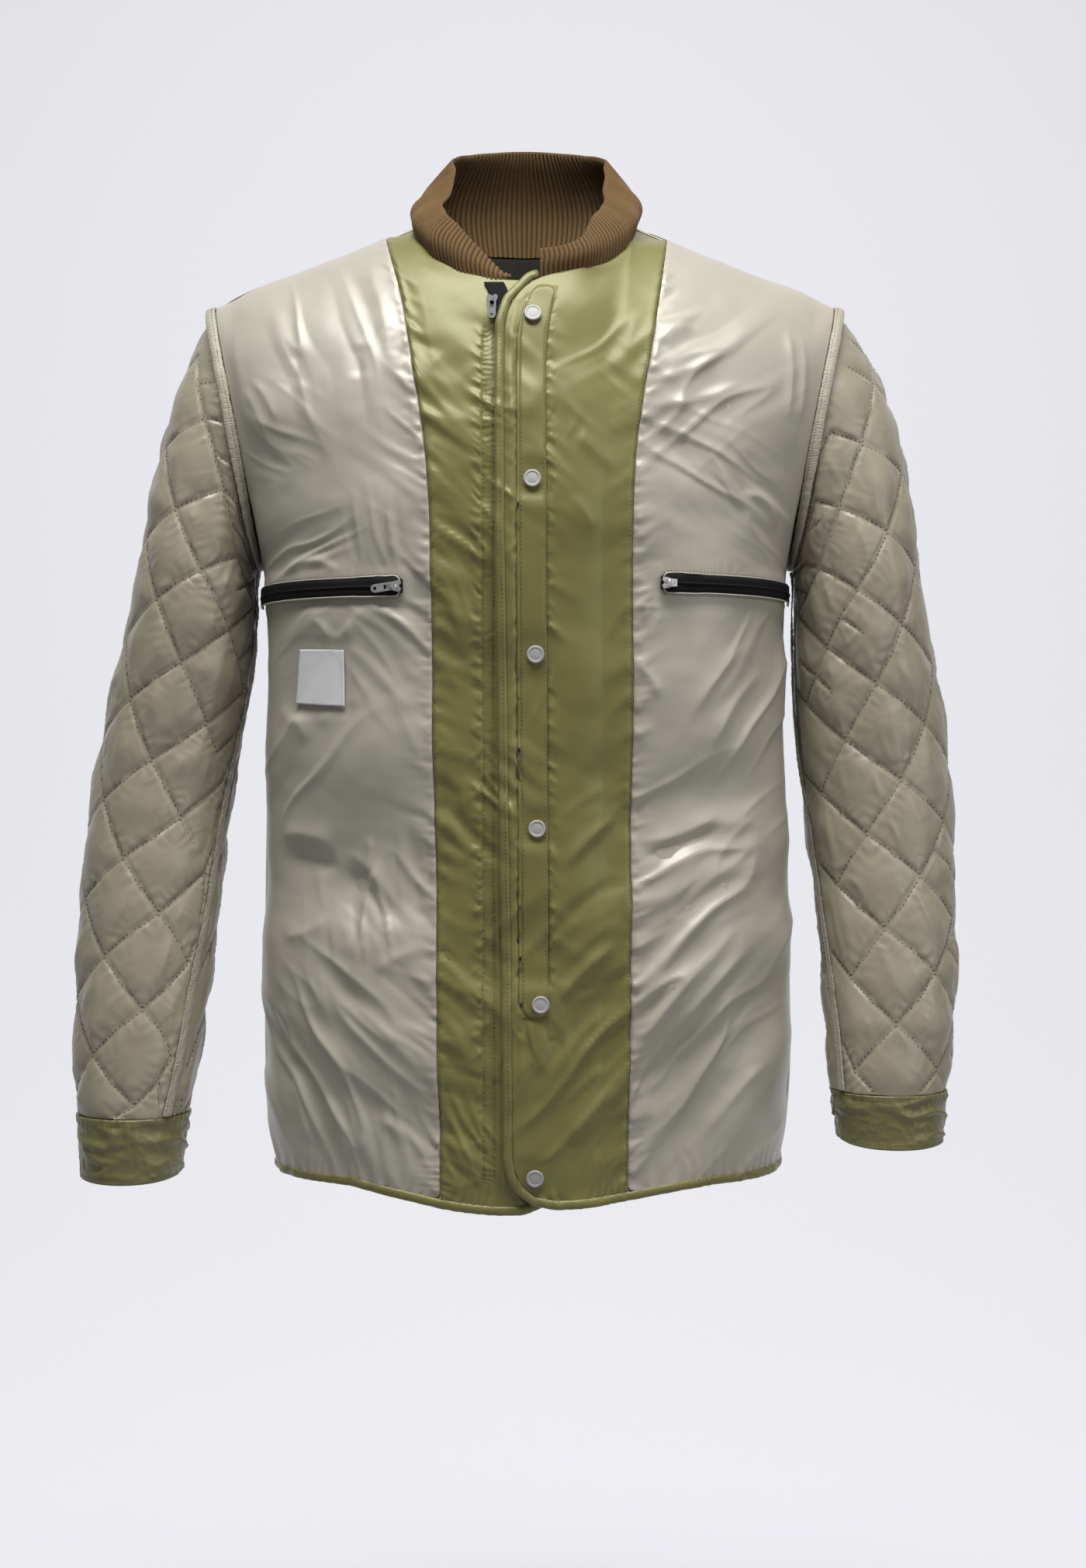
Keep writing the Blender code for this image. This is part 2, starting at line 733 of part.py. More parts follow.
def edge_binding(fronts, lifts, back, material):
    """Binding of the overlap's edge, from the collar down, then of the whole hem."""
    points, ups, outwards = [], [], []

    def add(point, up, outward):
        if not points or (point - points[-1]).length > 0.003:
            points.append(point)
            ups.append(up)
            outwards.append(outward)

    left, right = fronts[LEFT], fronts[RIGHT]

    def left_point(i, j):
        return left.points[i][j] + left.normals[i][j] * lifts[LEFT][i][j]

    tops = [left_point(-1, j) for j in range(FACING_COLUMNS + 1)]
    line = list(zip(left.places[-1], tops, left.normals[-1]))
    start, normal = edge_from(line, COLLAR_LEFT_END - 0.0006)[-1]
    add(start, normal, Vector((0, 0, 1)))
    last = len(left.points) - 1
    for i in range(last, -1, -1):
        share = clamp((i - last + 4) / 4)
        foot = clamp((4 - i) / 4)
        add(left_point(i, 0), left.normals[i][0], Vector((share - 1, 0, share * 0.5 - foot)))
    down = Vector((0, 0, -1))
    for j in range(1, len(left.points[0])):
        add(left_point(0, j), left.normals[0][j], down)
    for j in range(len(back.points[0]) - 1, -1, -1):
        add(back.points[0][j], back.normals[0][j], down)
    for j in range(len(right.points[0]) - 1, -1, -1):
        add(right.points[0][j], right.normals[0][j], down)
    frames = path_frames(points, ups, outwards)
    high, low = 0.0005, -BODY_WALL - 0.0004
    section = ((SEAM, low), (BINDING - 0.0008, low), (BINDING, (high + low) / 2),
               (BINDING - 0.0008, high), (SEAM, high))
    strip("edge_binding", frames, section, material)


def edge_from(line, end):
    """Top edge of one front from its neck point inwards, cut at a place across."""
    picked = []
    for (x, _), point, normal in reversed(line):
        if x > end:
            picked.append((x, point, normal))
            continue
        before = picked[-1]
        share = (before[0] - end) / (before[0] - x)
        picked.append((end, before[1].lerp(point, share), before[2].lerp(normal, share)))
        break
    return [(point, normal) for _, point, normal in picked]


def make_collar(fronts, lifts, back, material):
    """Stand collar: from the right end at the centre front, round the back, to the overlap."""
    edges = {}
    for side, end in ((RIGHT, COLLAR_RIGHT_END), (LEFT, COLLAR_LEFT_END)):
        front = fronts[side]
        tops = [p + n * h for p, n, h in zip(front.points[-1], front.normals[-1], lifts[side][-1])]
        line = list(zip(front.places[-1], tops, front.normals[-1]))
        edges[side] = edge_from(line[:FACING_COLUMNS + 1], end)
    low, high = back.neck
    behind = list(zip(back.points[-1], back.normals[-1]))[low + 1:high]
    corners = edges[RIGHT][::-1] + behind + edges[LEFT]
    base = [corners[0]]
    for before, after in zip(corners, corners[1:]):
        base.append((before[0].lerp(after[0], 0.5), before[1].lerp(after[1], 0.5)))
        base.append(after)
    outer = [[] for _ in range(COLLAR_ROWS + 1)]
    for point, _ in base:
        angle = math.degrees(math.atan2(abs(point.x), -point.y))
        name = SIDE_NAME[RIGHT if point.x < 0 else LEFT]
        inward = Vector((-point.x, -point.y, 0)).normalized()
        foot = point + Vector((0, 0, COLLAR_FOOT))
        top = foot + inward * COLLAR.at(angle, f"lean_{name}")
        top.z = max(COLLAR.at(angle, f"top_{name}"), foot.z + 0.004)
        for k in range(COLLAR_ROWS + 1):
            v = k / COLLAR_ROWS
            swell = COLLAR.at(angle, "bulge") * math.sin(math.pi * v) ** COLLAR_ROLL
            outer[k].append(foot.lerp(top, v) - inward * swell)
    normals = grid_normals(outer, lambda p: Vector((p.x, p.y, 0)))
    for k in range(len(base)):
        run = outer[0][min(k + 1, len(base) - 1)] - outer[0][max(k - 1, 0)]
        across = Vector((run.y, -run.x, 0)).normalized()
        normals[0][k] = across if across.dot(base[k][0]) > 0 else -across
    inner = []
    for row, line in zip(outer, normals):
        inner.append([])
        for k, (point, normal) in enumerate(zip(row, line)):
            tall = outer[-1][k].z - outer[0][k].z
            inner[-1].append(point - normal * COLLAR_WALL * clamp(tall / 0.014, 0.45, 1.0))
    wall("collar", outer, inner, material)


# Sleeves

def armhole_frame(side, theta):
    """Armhole point at an angle from its top towards the front, with the frame of its seam."""
    def at(angle):
        z = ARM_MID + ARM_HALF * math.cos(angle)
        deep = ARM_DEPTH_FRONT if math.sin(angle) > 0 else ARM_DEPTH_BACK
        return Vector((side * armhole_x(z), -deep * math.sin(angle), z))

    step = 0.02
    run = (at(theta + step) - at(theta - step)).normalized()
    low = (1 - math.cos(theta)) / 2
    slope = math.radians(22 + 58 * low**1.4)
    out = Vector((side * math.cos(slope), -0.12 * math.sin(theta), -math.sin(slope)))
    out = (out - run * out.dot(run)).normalized()
    up = run.cross(out)
    if up.dot(at(theta) - Vector((side * 0.21, 0, ARM_MID))) < 0:
        up.negate()
    return Frame(at(theta) - up * 0.0016 * low * low, out, up)


def ring_point(side, theta, z):
    """Point of the sleeve's section at height z; theta runs from the outer edge to the front."""
    table = SLEEVES[side]
    outer, inner = table.at(z, "outer"), table.at(z, "inner")
    x = (outer + inner) / 2 + (outer - inner) / 2 * signed_power(math.cos(theta), 0.95)
    y = table.at(z, "middle") - table.at(z, "half_depth") * signed_power(math.sin(theta), 0.95)
    return Vector((side * x, y, z))


def ring_girth(side, z):
    table = SLEEVES[side]
    a = (table.at(z, "outer") - table.at(z, "inner")) / 2
    b = table.at(z, "half_depth")
    return math.pi * (3 * (a + b) - math.sqrt((3 * a + b) * (a + 3 * b)))


def sleeve_length(side):
    return CAP_LENGTH + (RING_TOP - SLEEVE_END[side]) * 1.012


def sleeve_share(side, t):
    return clamp((t - CAP_LENGTH) / (sleeve_length(side) - CAP_LENGTH))


def sleeve_height(side, t):
    return mix(RING_TOP, SLEEVE_END[side], sleeve_share(side, t))


def sleeve_radius(side, t):
    return ring_girth(side, sleeve_height(side, t)) / (2 * math.pi)


def sleeve_theta(side, s, t):
    """Angle round the sleeve of the flat place s, t, with the seam's turn."""
    start, end = SEAM_TURN[side]
    turn = mix(start * clamp(t / CAP_LENGTH), end, sleeve_share(side, t))
    return s / sleeve_radius(side, t) + math.radians(turn)


def quilt_shift(side, t):
    """How far the quilting has moved round the flat cloth at t, next to the seam's own turn."""
    quilt, share = QUILTS[side], sleeve_share(side, t)
    turn = math.radians(quilt.turn * share + quilt.turn_more * share * share)
    return (turn - sleeve_theta(side, 0, t)) * sleeve_radius(side, t)


def quilt_place(side, s, t):
    """Place in the quilting's own grid of the flat place s, t, in diagonals."""
    quilt = QUILTS[side]
    round_place = s - quilt.s - quilt_shift(side, t)
    tilt = quilt.tilt * (1 - sleeve_share(side, t)) * round_place
    return round_place / quilt.round_step, (t - quilt.t - tilt) / quilt.along_step


def cap_edge(theta):
    """Flat height at which the armhole cuts the sleeve off."""
    return CAP_HEIGHT * (1 - math.cos(theta)) / 2


def sleeve_point(side, s, t):
    theta = sleeve_theta(side, s, t)
    if t >= CAP_LENGTH:
        return ring_point(side, theta, sleeve_height(side, t))
    frame = armhole_frame(side, theta)
    start = frame.point + frame.side * 0.0005 - frame.up * 0.0014
    end = ring_point(side, theta, RING_TOP)
    edge = cap_edge(theta)
    r = clamp((t - edge) / (CAP_LENGTH - edge))
    span = (end - start).length
    high = (1 + math.cos(theta)) / 2
    reach = mix(0.30, CAP_REACH[side], high)
    leave = Vector((side * reach, -0.10 * math.sin(theta), -math.sqrt(1 - reach * reach)))
    leave -= frame.up * max(0.0, leave.dot(frame.up) + 0.22)
    leave *= span * 1.15
    below = ring_point(side, theta, RING_TOP - 0.01)
    arrive = (end - below).normalized() * -span
    return (start * (2 * r**3 - 3 * r**2 + 1) + leave * (r**3 - 2 * r**2 + r)
            + end * (3 * r**2 - 2 * r**3) + arrive * (r**3 - r**2))


def puff_height(side, s, t):
    """Padding between the quilting lines, none at the armhole, the seam and the cuff."""
    a, b = quilt_place(side, s, t)
    dome = math.sqrt(abs(math.sin(math.pi * (a + b)) * math.sin(math.pi * (a - b))))
    half = sleeve_radius(side, t) * math.pi
    edge = cap_edge(sleeve_theta(side, s, t))
    near = min((half - abs(s) - SEAM_BARE) / 0.012, (t - edge - 0.0085) / 0.012,
               (sleeve_length(side) - t) / 0.012)
    return PUFF * dome * clamp(near)


def sleeve_grid(side):
    """Flat places of the sleeve's mesh, and the numbers of its first row and column.

    Its rows and columns run along the quilting's grid. They are squeezed together where
    the armhole, the seam and the cuff cut the cloth off.
    """
    quilt = QUILTS[side]
    round_step, along_step = quilt.round_step / STEPS, quilt.along_step / STEPS
    squeeze_s, squeeze_t = 0.0022, 0.0022
    length = sleeve_length(side)
    half_top = sleeve_radius(side, 0) * math.pi
    first_column = math.floor((-half_top - quilt.s) / round_step) - 1
    last_column = math.ceil((half_top - quilt.s) / round_step) + 1
    first_row = math.floor((0.012 - quilt.t) / along_step)
    last_row = math.ceil((length - quilt.t) / along_step)
    grid = []
    for i in range(first_row, last_row + 1):
        line = []
        for j in range(first_column, last_column):
            round_place = round_step * j
            s, t = quilt.s + round_place, quilt.t + along_step * i
            for _ in range(6):
                tilt = quilt.tilt * (1 - sleeve_share(side, t)) * round_place
                s = quilt.s + round_place + quilt_shift(side, t)
                half = sleeve_radius(side, t) * math.pi
                low = -half + SEAM_BARE + squeeze_s * (j - first_column - 1)
                high = half - SEAM_BARE - squeeze_s * (last_column - 1 - j)
                s = min(max(s, low), high)
                if j == first_column:
                    s = -half
                elif j == first_column + 1:
                    s = -half + SEAM_BARE
                elif j == last_column - 1:
                    s = half - SEAM_BARE
                edge = cap_edge(sleeve_theta(side, s, t))
                t = quilt.t + along_step * i + tilt
                t = min(max(t, edge + squeeze_t * (i - first_row)),
                        length - squeeze_t * (last_row - i))
                if i == first_row:
                    t = edge
                if i == last_row:
                    t = length
            line.append((s, t))
        grid.append(line)
    return grid, first_row, first_column


def make_sleeve(side, material):
    grid, first_row, first_column = sleeve_grid(side)
    plain = [[sleeve_point(side, s, t) for s, t in row] for row in grid]

    def away(point):
        z = min(point.z, RING_TOP)
        table = SLEEVES[side]
        middle = (table.at(z, "outer") + table.at(z, "inner")) / 2
        centre = Vector((side * mix(middle, 0.185, clamp((point.z - RING_TOP) / 0.23)),
                         table.at(z, "middle"), point.z - 0.02))
        return point - centre

    normals = grid_normals(plain, away, wrap=True)
    for j, (s, t) in enumerate(grid[0]):
        frame = armhole_frame(side, sleeve_theta(side, s, t))
        normals[0][j] = frame.up
    for j in range(len(normals[-1])):
        normals[-1][j].z = 0.0
        normals[-1][j].normalize()
    outer = [[p + n * puff_height(side, *place) for p, n, place in zip(*rows)]
             for rows in zip(plain, normals, grid)]
    keep = [0] + list(range(3, len(plain) - 2, 4)) + [len(plain) - 1]
    inner = [[p - n * SLEEVE_WALL for p, n in zip(plain[i], normals[i])] for i in keep]

    def turn(i, j):
        row, column = i + first_row, j + first_column
        if (row + column + 1) % STEPS == 0:
            return True
        return False if (row - column) % STEPS == 0 else None

    wall(f"sleeve_{SIDE_NAME[side]}", outer, inner, material, tube=True, turn=turn)


def sleeve_seam(side, material):
    """Bound seam allowance along the sleeve's seam, from the armhole to the cuff."""
    frames = []
    grid, _, _ = sleeve_grid(side)
    places = [row[0][1] for row in grid if row[0][1] > CAP_HEIGHT + 0.012]
    places[-1] -= 0.0010
    for t in places:
        half = sleeve_radius(side, t) * math.pi
        here = sleeve_point(side, half, t)
        across = sleeve_point(side, half - 0.004, t) - sleeve_point(side, -half + 0.004, t)
        along = sleeve_point(side, half, t + 0.004) - sleeve_point(side, half, t - 0.004)
        up = along.cross(across).normalized()
        ring = [ring_point(side, angle, sleeve_height(side, t)) for angle in (0, math.pi)]
        if up.dot(here - (ring[0] + ring[1]) / 2) < 0:
            up.negate()
        frames.append(Frame(here, across.normalized(), up))
    low, high, half_width = 0.0008, 0.0024, 0.0035
    section = ((-half_width, low), (half_width, low), (half_width, high * 0.75), (0.001, high),
               (-0.001, high), (-half_width, high * 0.75))
    strip(f"sleeve_seam_{SIDE_NAME[side]}", frames, section, material)


def armhole_seam(side, material):
    """Bound seam allowance round the armhole, which stands out over the top of the sleeve."""
    count = 32
    frames = [armhole_frame(side, 2 * math.pi * k / count) for k in range(count)]
    low, high = -0.0009, 0.0011
    section = ((SEAM, low), (0.0078, low), (0.0078, high), (SEAM, high))
    strip(f"armhole_seam_{SIDE_NAME[side]}", frames, section, material, loop=True)


def make_cuff(side, material):
    """A short tube below the sleeve, a little wider at its top edge."""
    columns, rows = 22, 4
    top, bottom = SLEEVE_END[side] - SEAM, CUFF_END[side]
    outer = []
    for i in range(rows + 1):
        v = i / rows
        line = []
        for j in range(columns):
            theta = 2 * math.pi * j / columns
            ring = ring_point(side, theta, SLEEVE_END[side])
            table = SLEEVES[side]
            z = SLEEVE_END[side]
            centre = Vector((side * (table.at(z, "outer") + table.at(z, "inner")) / 2,
                             table.at(z, "middle"), ring.z))
            size = 1.02 - 0.10 * v + 0.02 * math.sin(math.pi * v)
            point = centre + (ring - centre) * size
            point.y -= 0.004 * v
            point.x += side * 0.001 * v
            dip = 0.004 * (math.sin(theta) * v)
            point.z = mix(top, bottom, v) - max(0.0, dip)
            line.append(point)
        outer.append(line)
    normals = grid_normals(outer, lambda p: p - centre_of(outer), wrap=True)
    for line in (normals[0], normals[-1]):
        for normal in line:
            normal.z = 0.0
            normal.normalize()
    wall(f"cuff_{SIDE_NAME[side]}", outer, offset(outer, normals, -CUFF_WALL), material, tube=True)


def centre_of(grid):
    points = [p for row in grid for p in row]
    return sum(points, Vector()) / len(points)


# Fastenings

def pocket_zip(side, front, material):
    """Black zip tape on the front panel, from its rounded end to the side seam."""
    name = f"pocket_zip_{SIDE_NAME[side]}"
    z = ZIP_LEVEL[side]
    end = TORSO.at(z, "half_width")
    start_angle = arc_share(ZIP_START[side], end)
    frames = []
    for k in range(ZIP_COLUMNS + 1):
        x = arc_x(mix(start_angle, math.pi / 2 * 0.985, k / ZIP_COLUMNS), end)
        point, normal = surface(front, RIGHT, side * x, z)
        frames.append((point, normal))
    outer = []
    for lift in (0, 1):
        outer.append([])
    rows = 6
    top = [[] for _ in range(rows + 1)]
    below = [[] for _ in range(rows + 1)]
    first = frames[0][0]
    for point, normal in frames:
        along = (point - first).length
        half = ZIP_HALF
        if along < ZIP_HALF:
            half = max(0.0016, math.sqrt(ZIP_HALF**2 - (ZIP_HALF - along) ** 2))
        for k in range(rows + 1):
            dz = mix(-half, half, k / rows)
            spot = point + Vector((0, 0, dz))
            below[k].append(spot + normal * 0.0009)
            top[k].append(spot + normal * (0.0009 + ZIP_THICK))
    del outer
    wall(name, top, below, material)


def cap_mesh():
    """A snap's cap, turned from its profile: a low dome inside a raised rim."""
    r = SNAP_RADIUS
    profile = ((0.0, 0.0021), (r * 0.62, 0.0020), (r * 0.74, 0.0015), (r * 0.86, 0.0019),
               (r, 0.0010), (r, 0.0), (0.0, 0.0))
    mesh = bpy.data.meshes.new("snap_profile")
    mesh.from_pydata([(x, 0.0, z) for x, z in profile],
                     [(i, i + 1) for i in range(len(profile) - 1)], [])
    return mesh


def make_snaps(front, material):
    mesh = cap_mesh()
    for number, (x, z) in enumerate(SNAPS, start=1):
        on_strip = z > STRIP_BOTTOM
        point, normal = surface(front, LEFT, x, z, 0.0006 + (STRIP_THICK + 0.0005 if on_strip else 0.0))
        snap = new_object(f"snap_{number}", mesh if number == 1 else mesh.copy(), material)
        turn = snap.modifiers.new("Turn", "SCREW")
        turn.steps = turn.render_steps = 12
        turn.use_merge_vertices = True
        turn.merge_threshold = 0.00001
        snap.location = point
        snap.rotation_mode = "QUATERNION"
        snap.rotation_quaternion = normal.to_track_quat("Z", "Y")


def snap_strip(front, material):
    """Strip of cloth stitched on the overlap under the upper snaps."""
    rows, columns = 16, 2
    outer, inner = [], []
    for i in range(rows + 1):
        upper, lower = [], []
        for j in range(columns + 1):
            x = mix(STRIP_LEFT, STRIP_RIGHT, j / columns)
            top = top_height(0.012, FRONT) - BINDING - 0.004
            z = mix(STRIP_BOTTOM, top, i / rows)
            x += 0.0085 * clamp((z + 0.106) / 0.036) ** 1.5
            point, normal = surface(front, LEFT, x, z, 0.0006)
            lower.append(point)
            upper.append(point + normal * STRIP_THICK)
        outer.append(upper)
        inner.append(lower)
    wall("snap_strip", outer, inner, material)


def front_zip(front, material):
    """Zip tape on the under side; it shows beside the overlap's edge only at the neck."""
    rows, columns = 18, 2
    outer, inner = [], []
    for i in range(rows + 1):
        upper, lower = [], []
        z = mix(neck_height(0.02, FRONT) - 0.003, HEM + 0.012, (1 - i / rows) ** 1.7)
        hidden = overlap_edge(z) - BINDING + 0.0015
        left = mix(-0.0285, hidden, clamp((-0.0645 - z) / 0.034))
        for j in range(columns + 1):
            x = left + ZIP_TAPE * j / columns
            point, normal = surface(front, RIGHT, x, z, 0.0009)
            lower.append(point)
            upper.append(point + normal * 0.0008)
        outer.append(upper)
        inner.append(lower)
    wall("front_zip", outer, inner, material)


def make_label(front, material):
    rows = columns = 4
    outer, inner = [], []
    (a, b, c, d) = [Vector((x, 0, z)) for x, z in LABEL_CORNERS]
    for i in range(rows + 1):
        upper, lower = [], []
        for j in range(columns + 1):
            flat = d.lerp(a, i / rows).lerp(c.lerp(b, i / rows), j / columns)
            point, normal = surface(front, RIGHT, flat.x, flat.z, 0.0006)
            lower.append(point)
            upper.append(point + normal * LABEL_THICK)
        outer.append(upper)
        inner.append(lower)
    wall("label", outer, inner, material)


# Zip sliders and pull tabs, made lying flat: the zip runs along X, Z points off the cloth

SLIDER_LENGTH, SLIDER_WIDTH, SLIDER_HEIGHT = 0.0105, 0.0078, 0.0020
CROWN_WIDTH, CROWN_SPAN, CROWN_HEIGHT, CROWN_BAR = 0.0016, 0.0056, 0.0028, 0.0008
TAB_LENGTH, TAB_WIDTH, TAB_THICK = 0.0150, 0.0058, 0.0010
WINDOW_LENGTH, WINDOW_WIDTH, CROSSBAR = 0.0052, 0.0030, 0.0011


DRAWN = 1000.0


def outline_curve(name, outlines, half_thickness):
    """A flat plate from closed outlines, the first outside and the others holes.

    It is drawn in millimetres, so that its smallest corners are filled cleanly.
    """
    curve = bpy.data.curves.new(name, "CURVE")
    curve.dimensions = "2D"
    curve.fill_mode = "BOTH"
    curve.extrude = half_thickness * DRAWN
    for outline in outlines:
        spline = curve.splines.new("POLY")
        spline.points.add(len(outline) - 1)
        for point, (x, y) in zip(spline.points, outline):
            point.co = (x * DRAWN, y * DRAWN, 0, 1)
        spline.use_cyclic_u = True
    return curve


def mesh_from_curve(name, curve):
    """Welded mesh of a curve in millimetres, which is then removed."""
    helper = bpy.data.objects.new(name, curve)
    bpy.context.scene.collection.objects.link(helper)
    graph = bpy.context.evaluated_depsgraph_get()
    mesh = bpy.data.meshes.new_from_object(helper.evaluated_get(graph))
    bm = bmesh.new()
    bm.from_mesh(mesh)
    bmesh.ops.remove_doubles(bm, verts=bm.verts, dist=1e-3)
    bmesh.ops.recalc_face_normals(bm, faces=bm.faces)
    bm.to_mesh(mesh)
    bm.free()
    bpy.data.objects.remove(helper)
    bpy.data.curves.remove(curve)
    return mesh


def slider_outline():
    """Top view of a slider: square at the tab's end, two shoulders at the other."""
    half, width = SLIDER_LENGTH / 2, SLIDER_WIDTH / 2
    upper = ((-half, width * 0.62), (-half * 0.2, width * 0.72), (half * 0.45, width),
             (half * 0.9, width * 0.92), (half, width * 0.45), (half * 0.72, 0.0))
    lower = tuple((x, -y) for x, y in reversed(upper[:-1]))
    return upper + lower


def crown_outline():
    """Side view of the crown: a closed arch with its foot sunk into the slider."""
    half, bar, foot = CROWN_SPAN / 2, CROWN_BAR, -0.0006
    top = CROWN_HEIGHT
    return ((-half, foot), (-half, top - bar * 0.7), (-half + bar, top), (half - bar, top),
            (half, top - bar * 0.7), (half, foot), (half - bar, foot), (half - bar, top - 2 * bar),
            (half - 2 * bar, top - bar), (-half + 2 * bar, top - bar),
            (-half + bar, top - 2 * bar), (-half + bar, foot))


def slider_mesh():
    """Plate and crown joined into one body."""
    height = SLIDER_HEIGHT * DRAWN
    plate = mesh_from_curve("plate", outline_curve("plate", [slider_outline()], SLIDER_HEIGHT / 2))
    plate.transform(Matrix.Translation((0, 0, height / 2)))
    crown = mesh_from_curve("crown", outline_curve("crown", [crown_outline()], CROWN_WIDTH / 2))
    stand = Matrix.Translation((0, 0, height)) @ Matrix.Rotation(math.radians(90), 4, "X")
    crown.transform(stand)
    body = bpy.data.objects.new("slider_body", plate)
    arch = bpy.data.objects.new("slider_crown", crown)
    for piece in (body, arch):
        bpy.context.scene.collection.objects.link(piece)
    join = body.modifiers.new("Join", "BOOLEAN")
    join.operation = "UNION"
    join.solver = "EXACT"
    join.object = arch
    graph = bpy.context.evaluated_depsgraph_get()
    mesh = bpy.data.meshes.new_from_object(body.evaluated_get(graph))
    bm = bmesh.new()
    bm.from_mesh(mesh)
    bmesh.ops.triangulate(bm, faces=bm.faces)
    bm.to_mesh(mesh)
    bm.free()
    mesh.transform(Matrix.Scale(1 / DRAWN, 4))
    bpy.data.objects.remove(body)
    bpy.data.objects.remove(arch)
    return mesh


def tab_mesh():
    """Pull tab: a rounded plate whose window leaves a crossbar that runs through the crown."""
    width, end = TAB_WIDTH / 2, TAB_LENGTH
    start = CROSSBAR / 2
    outer = [(start, width * 0.8), (start, -width * 0.8), (0.0, -width)]
    for k in range(7):
        angle = math.radians(-90 - 180 * k / 6)
        outer.append((-end + width + width * math.cos(angle), width * math.sin(angle)))
    outer.append((0.0, width))
    window_start, window_end = -CROSSBAR / 2, -CROSSBAR / 2 - WINDOW_LENGTH
    half = WINDOW_WIDTH / 2
    window = ((window_start, half), (window_end, half), (window_end, -half), (window_start, -half))
    hole = [(-end + width + width * 0.45 * math.cos(2 * math.pi * k / 8),
             width * 0.45 * math.sin(2 * math.pi * k / 8)) for k in range(8)]
    mesh = mesh_from_curve("tab", outline_curve("tab", [outer, window, hole], TAB_THICK / 2))
    mesh.transform(Matrix.Scale(1 / DRAWN, 4))
    return mesh


Puller = namedtuple("Puller", "name surface_side x z zip_direction swing droop")
PULLERS = (
    Puller("pocket", RIGHT, -0.0893, -0.2800, Vector((1, 0, 0)), 0, 8),
    Puller("pocket", LEFT, 0.1000, -0.2775, Vector((-1, 0, 0)), 112, 10),
    Puller("front", RIGHT, -0.0222, -0.0790, Vector((0, 0, 1)), 0, 0),
)


def make_pullers(front, material):
    """A slider on each zip, and its tab hinged in the slider's crown."""
    slider, tab = slider_mesh(), tab_mesh()
    for puller in PULLERS:
        suffix = f"_{SIDE_NAME[puller.surface_side]}" if puller.name == "pocket" else ""
        thick = ZIP_THICK + 0.0009 if puller.name == "pocket" else 0.0014
        point, normal = surface(front, RIGHT, puller.x, puller.z, thick + 0.0004)
        along = (puller.zip_direction - normal * puller.zip_direction.dot(normal)).normalized()
        frame = Matrix((along, normal.cross(along), normal)).transposed().to_4x4()
        frame.translation = point
        body = new_object(f"{puller.name}_slider{suffix}", slider.copy(), material)
        body.matrix_world = frame
        pivot = Vector((-CROWN_SPAN / 2 + CROWN_BAR + 0.0011, 0, SLIDER_HEIGHT + TAB_THICK / 2 + 0.0004))
        turn = Matrix.Rotation(math.radians(puller.droop), 4, "Z")
        turn = turn @ Matrix.Rotation(math.radians(puller.swing), 4, "Y")
        tag = new_object(f"{puller.name}_tab{suffix}", tab.copy(), material)
        tag.matrix_world = frame @ Matrix.Translation(pivot) @ turn


def clear_scene():
    for piece in list(bpy.data.objects):
        bpy.data.objects.remove(piece)
    collection = bpy.data.collections.new("Quilted jacket")
    bpy.context.scene.collection.children.link(collection)


def main():
    clear_scene()
    taupe = make_material("Taupe sateen", (0.34, 0.32, 0.27), 0.38)
    quilted = make_material("Taupe quilting", (0.30, 0.28, 0.22), 0.48)
    olive = make_material("Olive sateen", (0.21, 0.21, 0.08), 0.36)
    olive_binding = make_material("Olive binding", (0.17, 0.17, 0.07), 0.50)
    taupe_binding = make_material("Taupe binding", (0.36, 0.34, 0.28), 0.50)
    brown = make_material("Brown corduroy", (0.15, 0.08, 0.03), 0.85)
    black = make_material("Black zip tape", (0.012, 0.012, 0.013), 0.60)
    metal = make_material("Polished metal", (0.75, 0.75, 0.74), 0.25, 1.0)
    white = make_material("White label", (0.80, 0.80, 0.78), 0.60)
    fronts = {side: front_grid(side) for side in (RIGHT, LEFT)}
    lifts = {side: front_lifts(side, fronts[side]) for side in (RIGHT, LEFT)}
    back = back_grid()
    for side in (RIGHT, LEFT):
        make_front(side, fronts[side], lifts[side], olive, taupe)
        make_sleeve(side, quilted)
        sleeve_seam(side, taupe_binding)
        armhole_seam(side, taupe_binding)
        make_cuff(side, olive)
        pocket_zip(side, fronts[side], black)
    wall("back", back.points, offset(back.points, back.normals, -BODY_WALL), taupe)
    make_collar(fronts, lifts, back, brown)
    edge_binding(fronts, lifts, back, olive_binding)
    snap_strip(fronts[LEFT], olive)
    front_zip(fronts[RIGHT], black)
    make_label(fronts[RIGHT], white)
    make_snaps(fronts[LEFT], metal)
    make_pullers(fronts[RIGHT], metal)


main()
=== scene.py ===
import math
from collections import namedtuple
from functools import lru_cache

import bmesh
import bpy
import numpy as np
from bpy.props import FloatProperty, FloatVectorProperty, IntProperty, PointerProperty
from bpy.types import Operator, Panel, PropertyGroup
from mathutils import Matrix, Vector
from mathutils.bvhtree import BVHTree
from mathutils.kdtree import KDTree


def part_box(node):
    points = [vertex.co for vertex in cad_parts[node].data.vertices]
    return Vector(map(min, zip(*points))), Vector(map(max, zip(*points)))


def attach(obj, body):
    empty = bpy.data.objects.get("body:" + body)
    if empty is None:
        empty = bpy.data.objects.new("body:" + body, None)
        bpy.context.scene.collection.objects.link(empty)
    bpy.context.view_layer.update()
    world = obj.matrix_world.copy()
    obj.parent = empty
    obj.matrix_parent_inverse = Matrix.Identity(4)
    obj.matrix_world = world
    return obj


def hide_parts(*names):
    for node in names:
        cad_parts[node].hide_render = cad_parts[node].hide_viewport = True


bl_info = {
    "name": "Quilted jacket",
    "version": (1, 0, 0),
    "blender": (4, 5, 0),
    "location": "3D View > Sidebar > Jacket",
    "description": "Sews the cloth, seams and fastenings of a quilted jacket over its solids",
    "category": "Object",
}

